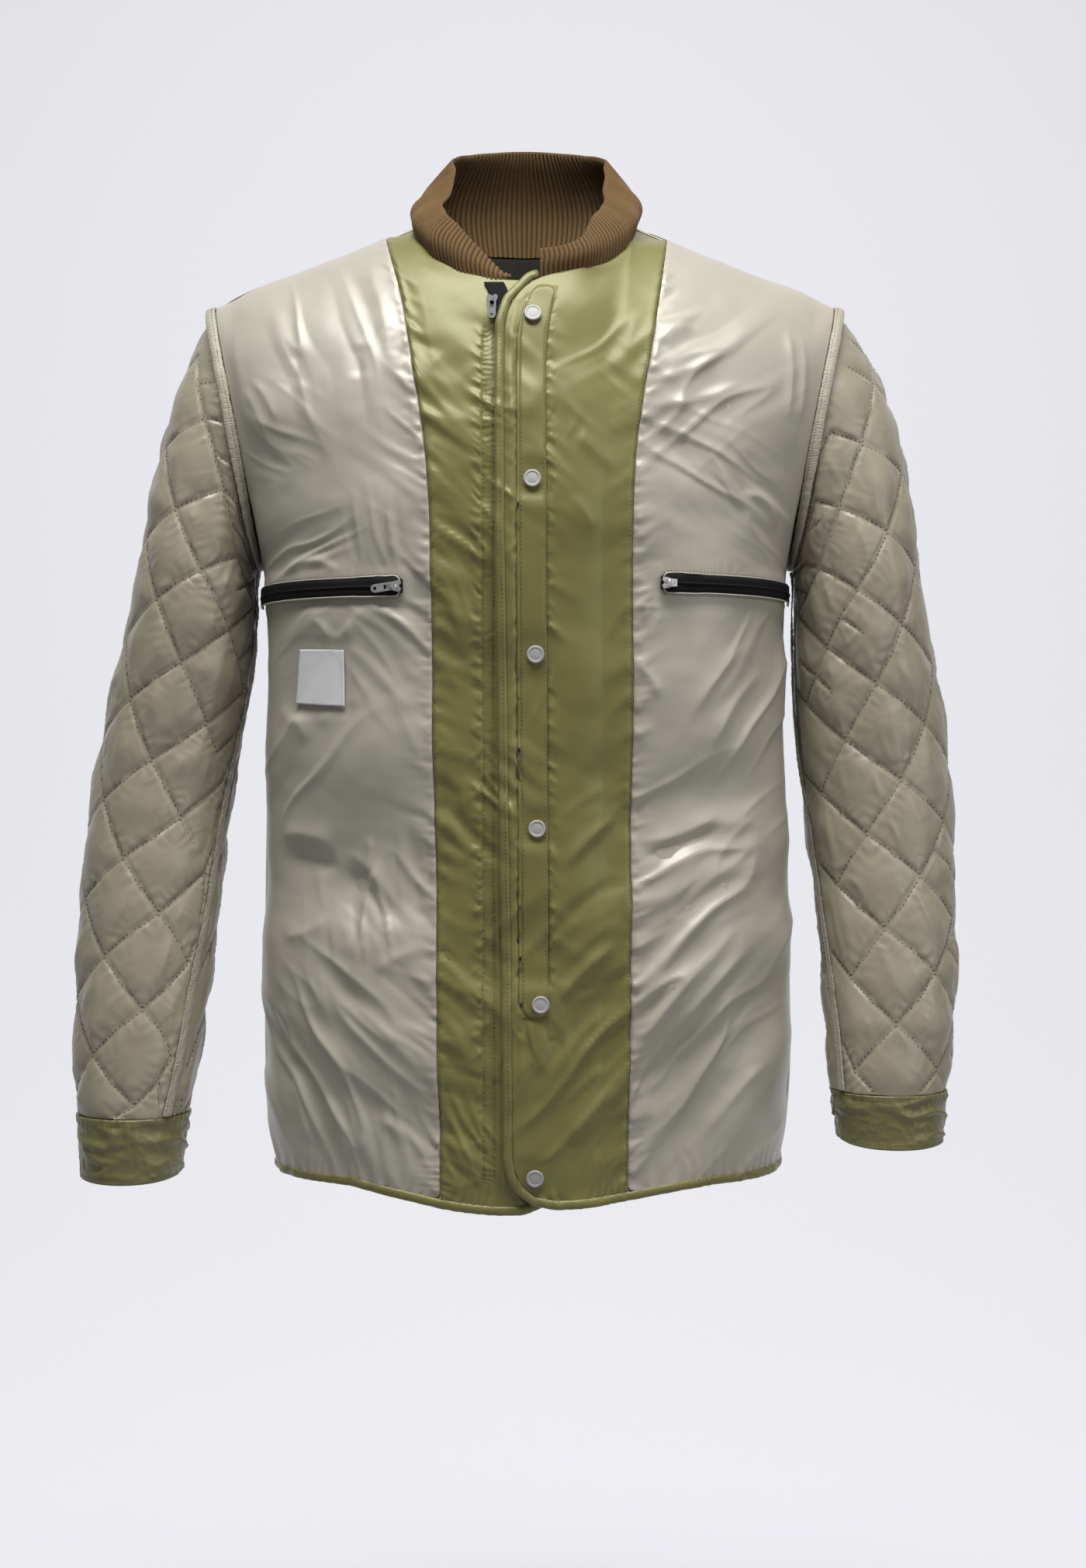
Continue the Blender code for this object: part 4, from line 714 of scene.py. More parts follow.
    def seam_relief(self, x, z):
        """Puckers and grooves beside the seams and above the hem, in millimetres."""
        height = np.zeros(len(x))
        for number, side in enumerate(SIDES):
            seam = self.seam_x(side, z * MM) / MM
            gap = (x - seam) * SIGN[side]
            beat = z / 8.8 + 1.5 * rough(z / 26, x / 60, 90 + number) + (gap > 0) * 0.4
            lens = 1 - 2 * np.abs(np.sin(math.pi * beat)) ** 1.6
            height += lens * 0.28 * np.exp(-np.abs(gap) / np.where(gap > 0, 7.0, 4.5))
            height -= 0.45 * bell(gap, 1.1)
            tiny = swing(z / 3.3 + rough(z / 9, 0 * z, 97 + number))
            height += 0.22 * tiny * np.exp(-np.abs(gap) / 2.6) * smooth(np.abs(gap) / 1.2)
            height += 0.35 * bell(gap + 3.2, 1.6)
        tall = smooth((BAND_TOP - z) / 14) * smooth((z - BAND_FOOT) / 12)
        band = smooth((x - BAND_LEFT) / 2) * smooth((BAND_RIGHT - x) / 2) * tall
        beat = z / 3.9 + (x + 24) / 26 + 1.1 * rough(z / 14, x / 9, 91)
        height += band * (0.20 * swing(beat) + 0.10 * rough(x / 4, z / 3, 92) - 0.6)
        for line in BAND_SEAMS:
            height -= 0.85 * tall * bell(x - line, 1.2)
        long = smooth((z - self.strip[0][0]) / 12) * smooth((self.strip[0][-1] - z) / 8)
        left, right = (np.interp(z, self.strip[0], edge) for edge in self.strip[1:])
        height -= long * (1.2 * bell(x - left + 0.6, 1.7) + 1.1 * bell(x - right, 1.3))
        height += long * (1.3 * bell(x - left + 5.5, 2.6) - 0.5 * bell(x + 13.9, 1.2))
        height += self.hem_puckers(x, z, "front", 0.7, 10)
        for side, tape in TAPE_HEIGHTS.items():
            gap = np.abs(z - tape - (x * 0.02 if side == "right" else 0)) - 7
            beat = x / 6.0 + 1.2 * rough(x / 20, z / 9, 96)
            near = smooth((x * SIGN[side] - 78) / 8) * (gap > 0)
            height += near * swing(beat) * 0.40 * np.exp(-np.abs(gap) / 4.5)
        return height


# Making pieces

def add_piece(name, mesh, material, nodes=()):
    piece = bpy.data.objects.new(name, mesh)
    bpy.context.scene.collection.objects.link(piece)
    mesh.materials.clear()
    mesh.materials.append(material)
    mesh.shade_smooth()
    mesh.set_sharp_from_angle(angle=SHARP_CLOTH)
    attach(piece, BODY)
    if nodes:
        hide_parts(*nodes)
    return piece


def add_cloth(node, outer, inner, material):
    """The two skins of a wall as one cloth."""
    piece = add_piece(node + "_cloth", outer, material, [node])
    add_piece(node + "_inside", inner, material, [node])


def from_body(point):
    return Vector((point.x * 0.4, point.y, point.z - min(point.z, SHOULDER_FOOT)))


def arm_centre(side, top, bottom, point):
    """Middle of the sleeve near a point."""
    down = (top - point.z) / (top - bottom)
    across = {"right": (0.205, 0.255, 0.280, 0.286), "left": (0.205, 0.253, 0.268, 0.268)}[side]
    x = np.interp(down, (0.0, 0.35, 0.7, 1.0), across)
    y = np.interp(down, (0.0, 0.45, 0.75, 1.0), (0.0, 0.002, -0.012, -0.033))
    return Vector((SIGN[side] * x, y, min(point.z, top - 0.07)))


def stitched(name, lines, surface, material, pitch=None, drawn=0.74, width=0.00050,
             rise=0.00036, slant=0.0):
    """Rows of stitches along lines of points, laid on a surface. A stitch is drawn over a share
    of the pitch, or over twice as many millimetres where it slants.
    """
    pitch = pitch or shape().stitch
    corners, faces = [], []
    turn = math.radians(slant)
    for line in lines:
        if len(line) < 2:
            continue
        line = np.asarray(line, float)
        reach = np.concatenate([[0.0], np.cumsum(np.linalg.norm(np.diff(line, axis=0), axis=1))])
        count = int(reach[-1] / pitch)
        if count < 1:
            continue
        starts = (np.arange(count) + 0.5) * reach[-1] / count
        middles = np.stack([np.interp(starts, reach, line[:, k]) for k in range(3)], axis=1)
        nexts = np.stack([np.interp(starts + 0.0005, reach, line[:, k]) for k in range(3)], axis=1)
        for m, n in zip(middles, nexts):
            spot, normal, _, gap = surface.find_nearest(Vector(m))
            run = Vector(n - m)
            if spot is None or gap > 0.010 or run.length < 1e-9:
                continue
            run = (run - normal * run.dot(normal)).normalized()
            run = (run * math.cos(turn) + normal.cross(run) * math.sin(turn)).normalized()
            half = run * (pitch * drawn / 2 if slant == 0.0 else drawn * MM)
            across = run.cross(normal).normalized() * width
            low = normal * -0.0003
            first = len(corners)
            corners += [spot - half + low, spot + half + low, spot + normal * rise,
                        spot + across, spot - across]
            faces += [(first, first + 3, first + 2), (first + 3, first + 1, first + 2),
                      (first + 1, first + 4, first + 2), (first + 4, first, first + 2)]
    mesh = bpy.data.meshes.new(name)
    mesh.from_pydata([tuple(c) for c in corners], [], faces)
    mesh.update()
    return add_piece(name, mesh, material)


def seen_points(tree, xs, zs, behind=False):
    """Points of a surface seen from the front or from behind, at places across and up."""
    way = -1.0 if behind else 1.0
    hits = [tree.ray_cast(Vector((x, -way, z)), Vector((0, way, 0)))[0] for x, z in zip(xs, zs)]
    return [hit for hit in hits if hit is not None]


def seen_band(tree, places, low, high, share, upright=True, behind=False, step=0.0005):
    """A line along an upright or level band, at a share of the width that is seen."""
    found = []
    for place in places:
        over = np.arange(low, high, step)
        here = np.full(len(over), place)
        xs, zs = (over, here) if upright else (here, over)
        hits = seen_points(tree, xs, zs, behind)
        if len(hits) > 2:
            found.append(hits[int(share * (len(hits) - 1))])
    return found


def cord(name, path, radius, material, sides=8):
    """A round cord along a line of points."""
    path = np.asarray(path, float)
    run = unit(np.gradient(path, axis=0))
    first = unit(np.cross(run, (0.02, 0.0, 1.0)))
    second = np.cross(run, first)
    turns = np.linspace(0, TURN, sides + 1)
    grid = np.array([path + radius * (first * math.cos(t) + second * math.sin(t)) for t in turns])
    return add_piece(name, grid_mesh(name, grid), material)


def tree_of(mesh):
    bm = bmesh.new()
    bm.from_mesh(mesh)
    tree = BVHTree.FromBMesh(bm)
    bm.free()
    return tree


# Materials

class Nodes:
    """Adds shader nodes with their settings and links in one line each."""

    def __init__(self, tree):
        self.tree = tree

    def add(self, kind, settings=None, **inputs):
        node = self.tree.nodes.new(kind)
        for key, value in (settings or {}).items():
            setattr(node, key, value)
        self.feed(node, **inputs)
        return node

    def feed(self, node, **inputs):
        """Set or link sockets by name, with _ for a space, or by their number after a _."""
        for key, value in inputs.items():
            self.join(value, node.inputs[int(key[1:]) if key[0] == "_" else key.replace("_", " ")])

    def join(self, value, socket):
        if isinstance(value, bpy.types.NodeSocket):
            self.tree.links.new(value, socket)
        else:
            socket.default_value = value

    def sum(self, operation, *values):
        node = self.tree.nodes.new("ShaderNodeMath")
        node.operation = operation
        for k, value in enumerate(values):
            self.join(value, node.inputs[k])
        return node.outputs[0]

    def place(self):
        return self.add("ShaderNodeTexCoord").outputs["Object"]

    def apart(self, vector):
        return self.add("ShaderNodeSeparateXYZ", Vector=vector).outputs

    def cloud(self, scale, detail):
        return self.add("ShaderNodeTexNoise", Vector=self.place(), Scale=scale,
                        Detail=detail).outputs[0]

    def shaded(self, colour, value):
        """A colour made lighter or darker."""
        return self.add("ShaderNodeHueSaturation", Value=value, Color=colour).outputs[0]

    def bump(self, height, distance, **inputs):
        return self.add("ShaderNodeBump", Strength=1.0, Distance=distance, Height=height,
                        **inputs).outputs[0]


def new_group(name, results, **inputs):
    """An empty shader group with named sockets: Colour holds a colour, the others numbers."""
    group = bpy.data.node_groups.new(name, "ShaderNodeTree")

    def socket(title, way):
        kind = "NodeSocketColor" if title == "Colour" else "NodeSocketFloat"
        return group.interface.new_socket(name=title, in_out=way, socket_type=kind)

    for title, value in inputs.items():
        socket(title, "INPUT").default_value = value
    for title in results:
        socket(title, "OUTPUT")
    nodes = Nodes(group)
    return (group, nodes, nodes.add("NodeGroupInput").outputs,
            nodes.add("NodeGroupOutput").inputs)


def crease_group():
    """Fine creases in one direction, as a height."""
    group, nodes, given, result = new_group(
        "Fine creases", ("Height",), Angle=0.0, Length=0.03, Width=0.005, Seed=0.0)
    turned = nodes.add("ShaderNodeVectorRotate", {"rotation_type": "Y_AXIS"},
                       Vector=nodes.place(), Angle=given["Angle"])
    across = nodes.sum("DIVIDE", 1.0, given["Width"])
    along = nodes.sum("DIVIDE", 1.0, given["Length"])
    scale = nodes.add("ShaderNodeCombineXYZ", X=along, Y=along, Z=across)
    spread = nodes.add("ShaderNodeVectorMath", {"operation": "MULTIPLY"},
                       _0=turned.outputs[0], _1=scale.outputs[0])
    cloud = nodes.add("ShaderNodeTexNoise", {"noise_dimensions": "4D"}, Vector=spread.outputs[0],
                      W=given["Seed"], Scale=1.0, Detail=2.0, Roughness=0.5)
    off = nodes.sum("ABSOLUTE", nodes.sum("SUBTRACT", cloud.outputs[0], 0.5))
    crest = nodes.sum("SUBTRACT", 1.0, nodes.sum("MULTIPLY", off, 6.0))
    nodes.join(nodes.sum("MAXIMUM", crest, 0.0), result["Height"])
    return group


def weave_group():
    """Fine threads, as a height."""
    group, nodes, given, result = new_group("Woven threads", ("Height",), Pitch=0.0006)
    apart = nodes.apart(nodes.place())
    turn = nodes.sum("DIVIDE", TURN, given["Pitch"])
    round_place = nodes.sum("ADD", apart["X"], nodes.sum("MULTIPLY", apart["Y"], 0.8))
    weft = nodes.sum("SINE", nodes.sum("MULTIPLY", apart["Z"], turn))
    warp = nodes.sum("SINE", nodes.sum("MULTIPLY", round_place, turn))
    nodes.join(nodes.sum("MULTIPLY", weft, warp), result["Height"])
    return group


def shade_group():
    """Slight clouds of lighter and darker cloth."""
    group, nodes, given, result = new_group(
        "Cloth shade", ("Colour",), Colour=(0.5, 0.5, 0.5, 1.0), Amount=0.1, Size=0.05)
    cloud = nodes.cloud(nodes.sum("DIVIDE", 1.0, given["Size"]), 3.0)
    off = nodes.sum("MULTIPLY", nodes.sum("SUBTRACT", cloud, 0.5), given["Amount"])
    value = nodes.sum("ADD", 1.0, nodes.sum("MULTIPLY", off, 2.0))
    nodes.join(nodes.shaded(given["Colour"], value), result["Colour"])
    return group


def glow_group():
    """A glow that grows towards the wall behind the jacket."""
    group, nodes, given, result = new_group(
        "Backdrop glow", ("Colour",), Colour=(0.86, 0.86, 0.90, 1.0), From=-0.3, To=0.9,
        Least=0.15)
    gone = nodes.sum("SUBTRACT", nodes.apart(nodes.place())["Y"], given["From"])
    share = nodes.sum("DIVIDE", gone, nodes.sum("SUBTRACT", given["To"], given["From"]))
    share = nodes.sum("MINIMUM", nodes.sum("MAXIMUM", share, given["Least"]), 1.0)
    nodes.join(nodes.shaded(given["Colour"], share), result["Colour"])
    return group


def rib_group():
    """Corduroy ribs, as a colour with painted shade between them and as a height."""
    group, nodes, given, result = new_group(
        "Corduroy ribs", ("Colour", "Height"), Colour=(0.1, 0.06, 0.03, 1.0))
    where = nodes.add("ShaderNodeUVMap", {"uv_map": "Ribs"}).outputs["UV"]
    turn = nodes.sum("COSINE", nodes.sum("MULTIPLY", nodes.apart(where)["X"], math.pi))
    rib = nodes.sum("POWER", nodes.sum("ABSOLUTE", turn), 0.6)
    nap = nodes.cloud(1400.0, 2.0)
    # Painted shade: the colour darkens in the grooves between the ribs
    value = nodes.sum("ADD", 0.14, nodes.sum("MULTIPLY", rib, nodes.sum("ADD", 0.65, nap)))
    nodes.join(nodes.shaded(given["Colour"], value), result["Colour"])
    nodes.join(nodes.sum("ADD", rib, nap), result["Height"])
    return group


def group_node(nodes, name, maker, **inputs):
    group = bpy.data.node_groups.get(name) or maker()
    return nodes.add("ShaderNodeGroup", {"node_tree": group}, **inputs)


def cloudy(nodes, tint, amount, **inputs):
    """A colour with slight clouds in it."""
    return group_node(nodes, "Cloth shade", shade_group, Colour=(*tint, 1.0), Amount=amount,
                      **inputs).outputs[0]


def new_material(name):
    material = bpy.data.materials.new(name)
    material.use_nodes = True
    material.node_tree.nodes.clear()
    nodes = Nodes(material.node_tree)
    surface = nodes.add("ShaderNodeBsdfPrincipled")
    output = nodes.add("ShaderNodeOutputMaterial", Surface=surface.outputs[0])
    output.location = (300, 0)
    return material, nodes, surface


def cloth(name, tint, roughness, sheen=0.0, specular=0.5, weave=0.0007, weave_height=0.000012,
          creases=(), shade=0.06, coat=0.0, gloss=(1.0, 1.0, 1.0)):
    """A woven cloth; creases are (angle in degrees, length, width, height)."""
    if name in bpy.data.materials:
        return bpy.data.materials[name]
    material, nodes, surface = new_material(name)
    threads = group_node(nodes, "Woven threads", weave_group, Pitch=weave)
    bump = nodes.bump(threads.outputs[0], weave_height)
    for k, (angle, length, width, height) in enumerate(creases):
        lines = group_node(nodes, "Fine creases", crease_group, Angle=math.radians(angle),
                           Length=length, Width=width, Seed=1.7 * k)
        bump = nodes.bump(lines.outputs[0], height, Normal=bump)
    nodes.feed(surface, Base_Color=cloudy(nodes, tint, shade), Roughness=roughness,
               Sheen_Weight=sheen, Sheen_Roughness=0.45, Specular_IOR_Level=specular,
               Specular_Tint=(*gloss, 1.0), Coat_Weight=coat, Coat_Roughness=0.35, Normal=bump)
    return material


def olive():
    return cloth("Olive sateen", colours().olive, 0.37, sheen=0.04, specular=0.44,
                 gloss=(0.90, 0.92, 0.62), shade=0.05)


def cuff_sateen():
    return cloth("Cuff sateen", colours().cuff, 0.42, sheen=0.06, specular=0.55, coat=0.08,
                 creases=((5, 0.016, 0.0040, 0.00008),), shade=0.05)


def taupe():
    return cloth("Taupe sateen", colours().taupe, 0.37, sheen=0.06, specular=0.70,
                 gloss=(1.0, 0.97, 0.90), shade=0.05)


def quilting():
    return cloth("Taupe quilting", colours().quilting, 0.40, sheen=0.08, specular=0.55, coat=0.06,
                 creases=((80, 0.016, 0.0050, 0.00005),), shade=0.04)


def seam_binding():
    return cloth("Seam binding", colours().binding, 0.46, sheen=0.2,
                 creases=((0, 0.006, 0.0016, 0.00018),), shade=0.08)


def edging():
    return cloth("Edge binding", colours().edging, 0.40, sheen=0.06, gloss=(0.90, 0.92, 0.62),
                 creases=((60, 0.006, 0.0020, 0.00006),), shade=0.06)


def tape_cloth():
    return cloth("Zip tape", colours().tape, 0.6, specular=0.12, weave=0.0009,
                 weave_height=0.00010, shade=0.02)


def label_cloth():
    return cloth("Woven label", colours().label, 0.62, sheen=0.2, weave=0.0005,
                 weave_height=0.00006, shade=0.03)


def thread(name, tint):
    return cloth(f"{name} thread", tint, 0.55, sheen=0.2, weave=0.0003, weave_height=0.00004)


def olive_thread():
    return thread("Olive", colours().olive_thread)


def corduroy():
    material, nodes, surface = new_material("Brown corduroy")
    ribs = group_node(nodes, "Corduroy ribs", rib_group,
                      Colour=cloudy(nodes, colours().corduroy, 0.10))
    # The ribs' colour carries painted shade in the grooves between them
    nodes.feed(surface, Base_Color=ribs.outputs["Colour"], Roughness=0.85, Sheen_Weight=0.10,
               Specular_IOR_Level=0.15, Normal=nodes.bump(ribs.outputs["Height"], 0.00015))
    return material


def metal(name, brightness, roughness, pits=0.00003, metallic=1.0):
    """The metal's colour made brighter or darker, with fine pits."""
    material, nodes, surface = new_material(name)
    tint = [share * brightness for share in colours().metal]
    nodes.feed(surface, Base_Color=cloudy(nodes, tint, 0.10, Size=0.0015), Metallic=metallic,
               Roughness=roughness, Normal=nodes.bump(nodes.cloud(900.0, 2.0), pits))
    return material


# Operators, one for each group of pieces

class JACKET_OT_camera(Operator):
    """Set the camera where the photograph was taken from"""
    bl_idname = "jacket.camera"
    bl_label = "Camera"

    def execute(self, context):
        data = bpy.data.cameras.new("Camera")
        data.sensor_fit = "VERTICAL"
        data.sensor_height = 36.0
        data.lens = studio().focal_length
        camera = bpy.data.objects.new("Camera", data)
        camera.location = (studio().camera_across, -studio().camera_distance,
                           studio().camera_height)
        camera.rotation_euler = (math.radians(90), 0, 0)
        context.scene.collection.objects.link(camera)
        context.scene.camera = camera
        return {"FINISHED"}


class JACKET_OT_front(Operator):
    """Lay the satin of the facings and front panels, with its folds"""
    bl_idname = "jacket.front"
    bl_label = "Front"

    def execute(self, context):
        relief = front_relief()
        facings_cloth = {}
        for kind, material, slot in (("front", taupe(), "taupe_sateen"),
                                     ("facing", olive(), "olive_sateen")):
            for side in SIDES:
                node = f"{kind}_{side}"
                levels = shape().panel_levels - (kind == "facing")
                outer, inner = skins(node, from_body, levels)
                if kind == "facing":
                    facings_cloth[side] = outer = refined(outer, *FINE_FACING)
                for mesh in (outer, inner):
                    co = relief.tuck_in(places(mesh))
                    put_places(mesh, raised(co, relief(co)))
                add_cloth(node, outer, inner, material)
        for side in SIDES:
            self.shoulder_seam(side)
        for side, mesh in facings_cloth.items():
            self.stitches(side, mesh)
        return {"FINISHED"}

    def stitches(self, side, facing):
        """A row beside the seam of the facing, and two along the band over the zip."""
        tree = tree_of(facing)
        z = np.arange(*FACING_ROW, 0.004)
        rows = [seen_points(tree, front_relief().seam_x(side, z) - SIGN[side] * 0.0014, z)]
        if side == "right":
            z = np.arange(*BAND_ROW, 0.003)
            wander = 0.0006 * rough(z / 0.03, 0 * z, 17)
            rows += [seen_points(tree, line * MM + wander, z) for line in BAND_SEAMS]
        stitched(f"facing_stitches_{side}", rows, tree, olive_thread())

    def shoulder_seam(self, side):
        """The pressed seam along the shoulder, from the collar to the armhole."""
        spots = np.array([p for kind in ("front", "facing")
                          for p in seam_points(f"{kind}_{side}", "back")])
        groups = in_steps(spots[spots[:, 2] > SHOULDER_FOOT], 0, 0.004)
        line = smoothed(np.array([group[np.argmax(group[:, 2])] for group in groups]), 2)
        line[:, 2] -= 0.0004
        cord(f"shoulder_seam_{side}", line, SEAM_CORD, taupe())


def refined(mesh, low, high):
    """The mesh with its faces cut once more between two places across."""
    bm = bmesh.new()
    bm.from_mesh(mesh)
    edges = [e for e in bm.edges if all(low < v.co.x < high and v.co.y < 0 for v in e.verts)]
    bmesh.ops.subdivide_edges(bm, edges=edges, cuts=1, use_grid_fill=True)
    bm.to_mesh(mesh)
    bm.free()
    return mesh


class JACKET_OT_back(Operator):
    """Lay the satin of the back"""
    bl_idname = "jacket.back"
    bl_label = "Back"

    def execute(self, context):
        relief = front_relief()
        outer, inner = skins("back", from_body, 3)
        for mesh in (outer, inner):
            co = relief.tuck_in(places(mesh), "back")
            x, z = co[:, 0] / MM, co[:, 2] / MM
            height = np.zeros(len(co))
            for k, train in enumerate(BACK_TRAINS):
                along, across, window = in_train(train, x, z)
                bend = 6 * rough(along / 40, across / 60)
                height += window * train.height * ridges(
                    along / (train.pitch * 5) + k, (across + bend) / train.pitch, 200 + k)
            height += 1.4 * rough(x / 46, z / 38, 210) + 0.2 * rough(x / 9, z / 8, 211)
            height += relief.hem_puckers(x, z, "back", 0.5, 9)
            put_places(mesh, raised(co, height * MM * relief.fade(co)))
        add_cloth("back", outer, inner, taupe())
        return {"FINISHED"}


def relax(mesh, lines, keep=0.0018, rounds=14):
    """Smooth the cloth between its quilting lines, which stay where they are."""
    bm = bmesh.new()
    bm.from_mesh(mesh)
    free = [v for v in bm.verts if not v.is_boundary and lines.find(v.co)[2] > keep]
    for _ in range(rounds):
        bmesh.ops.smooth_vert(bm, verts=free, factor=0.5, use_axis_x=True, use_axis_y=True,
                              use_axis_z=True)
    bm.normal_update()
    bm.to_mesh(mesh)
    bm.free()


class JACKET_OT_sleeves(Operator):
    """Quilt the sleeves: domes between stitched valleys, puckered along them"""
    bl_idname = "jacket.sleeves"
    bl_label = "Sleeves"

    def execute(self, context):
        for side in SIDES:
            node = f"sleeve_{side}"
            valleys = []
            pitch, pucker_height, groove_depth = 0.0062, 0.00050, 0.0016
            low, high = box_of(node)
            outer, inner = skins(
                node, lambda p: p - arm_centre(side, high[2], low[2], p), shape().sleeve_levels,
                valleys=valleys)
            spots, beats = [], []
            for a, b in valleys:
                a, b = np.array(a), np.array(b)
                count = max(2, int(np.linalg.norm(b - a) / 0.0008))
                for share in np.linspace(0, 1, count):
                    spot = a + (b - a) * share
                    spots.append(spot)
                    beats.append(spot[2] / pitch + 0.6 * spot[1] / pitch)
            tree = point_tree(spots)
            relax(outer, tree)
            co, normals = places(outer), facings(outer)
            found = [tree.find(p) for p in co]
            gap = np.array([f[2] for f in found])
            beat = np.array([beats[f[1]] for f in found])
            beat += 1.2 * rough(co[:, 2] / 0.019, co[:, 0] / 0.017, 31)
            pucker = swing(beat) * pucker_height * (np.exp(-gap / 0.0095) * smooth(gap / 0.0018))
            turn = np.arctan2(co[:, 1], np.abs(co[:, 0]) - SLEEVE_ACROSS)
            drape = 0.0014 * ridges(co[:, 2] / 0.075, turn * 0.045 / 0.013 + co[:, 2] / 0.06, 33)
            drape += 0.0006 * rough(turn * 1.6, co[:, 2] / 0.016, 35)
            drape *= smooth((gap - 0.002) / 0.012)
            groove = -groove_depth * bell(gap, 0.0015)
            put_places(outer, co + normals * (pucker + drape + groove)[:, None])
            piece = add_piece(node + "_quilting", outer, quilting(), [node])
            add_piece(node + "_inside", inner, quilting(), [node])
            stitched(f"quilting_stitches_{side}", valleys, tree_of(outer),
                     thread("Quilting", colours().quilting_thread),
                     pitch=0.0034, drawn=0.86, width=0.00058)
        return {"FINISHED"}


class JACKET_OT_seams(Operator):
    """Round the bound seams of the armholes, sleeves, hem and overlap"""
    bl_idname = "jacket.seams"
    bl_label = "Bound seams"

    def execute(self, context):
        relief = front_relief()
        for node in (*(f"{kind}_seam_{side}" for kind in ("armhole", "sleeve") for side in SIDES),
                     "edge_binding"):
            bm = node_mesh(node)
            crease = bm.edges.layers.float.new("crease_edge")
            for e in bm.edges:
                if e.calc_face_angle(0.0) > math.radians(30):
                    e[crease] = 0.35
            bmesh.ops.subdivide_edges(
                bm, edges=[e for e in bm.edges if e.calc_length() > 0.009], cuts=3,
                use_grid_fill=True)
            mesh = subdivided(bm, node, 1)
            co, normals = places(mesh), facings(mesh)
            if node == "edge_binding":
                height = relief(co) * smooth((0.004 - co[:, 1]) / 0.01)
                co = raised(co, height) + normals * 0.0008
            pitch, even, uneven = 0.0052, 0.00022, 0.0004
            beat = (co[:, 2] + 0.7 * co[:, 0] + 0.6 * co[:, 1]) / pitch
            lumps = even * swing(beat + rough(beat / 5, beat / 9, 8))
            lumps += uneven * rough(beat / 2.5, beat / 7, 18)
            if node == "edge_binding":
                lumps *= 0.45
            put_places(mesh, co + normals * lumps[:, None])
            tree = tree_of(mesh)
            if node == "edge_binding":
                piece = add_piece(node + "_cloth", mesh, edging(), [node])
                rows = [seen_band(tree, np.arange(*OVERLAP_ROW, 0.004), -0.030, 0.012, 0.62),
                        seen_band(tree, np.arange(*HEM_ROW, 0.004), -0.722, -0.650, 0.82,
                                  upright=False)]
                stitched(node + "_stitches", rows, tree, olive_thread())
            else:
                piece = add_piece(node + "_cloth", mesh, seam_binding(), [node])
                self.overlock(node, tree)
        return {"FINISHED"}

    def overlock(self, node, tree):
        """Slanting stitches along a bound seam, before and behind."""
        low, high = box_of(node)
        down = np.arange(low[2] + 0.002, high[2] - 0.003, 0.003)
        share = 0.30 if ("right" in node) != ("armhole" in node) else 0.70
        rows = [seen_band(tree, down, low[0] - 0.002, high[0] + 0.002, share, behind=behind)
                for behind in (False, True)]
        stitched(node + "_stitches", rows, tree, thread("Overlock", colours().seam_thread),
                 pitch=0.0019, drawn=1.3, slant=62)


class JACKET_OT_cuffs(Operator):
    """Fold the satin cuffs, with two rows of stitches"""
    bl_idname = "jacket.cuffs"
    bl_label = "Cuffs"

    def execute(self, context):
        for side in SIDES:
            node = f"cuff_{side}"
            low, high = box_of(node)
            middle = Vector((low + high) / 2)
            outer, inner = skins(node, lambda p: p - Vector((middle.x, middle.y, p.z)), 3,
                                 inside_levels=2)
            tall = high[2] - low[2]
            fold_height, small_height, gather_height = 0.0022, 0.0008, 0.0003
            for mesh in (outer, inner):
                co = places(mesh)
                out = co - np.array(middle)
                out[:, 2] = 0
                out = unit(out)
                turn = np.arctan2(out[:, 1], out[:, 0])
                up = (co[:, 2] - low[2]) / tall
                seed = 60 if side == "right" else 70
                folds = ridges(turn * 0.9 + up * 1.2, up * 3.2 + 0.6 * np.sin(turn * 2), seed)
                small = ridges(turn * 5, up * 5.0 + turn, seed + 1)
                height = fold_height * folds + small_height * small - 0.0008
                height *= smooth(up / 0.15) * smooth((1 - up) / 0.12)
                gathers = np.sin(turn * 46 + 2 * rough(turn * 5, up, seed))
                height += gather_height * gathers * bell(1 - up, 0.25)
                put_places(mesh, co + out * height[:, None])
            add_cloth(node, outer, inner, cuff_sateen())
            tree = tree_of(outer)
            rows = []
            for share in (0.09, 0.90):
                row = []
                for turn in np.linspace(0, TURN, 90):
                    way = Vector((math.cos(turn), math.sin(turn), 0))
                    start = Vector((middle.x, middle.y, low[2] + tall * share)) + way * 0.12
                    hit = tree.ray_cast(start, -way)[0]
                    if hit is not None:
                        row.append(hit)
                rows.append(row)
            stitched(f"cuff_stitches_{side}", rows, tree, olive_thread())
        return {"FINISHED"}


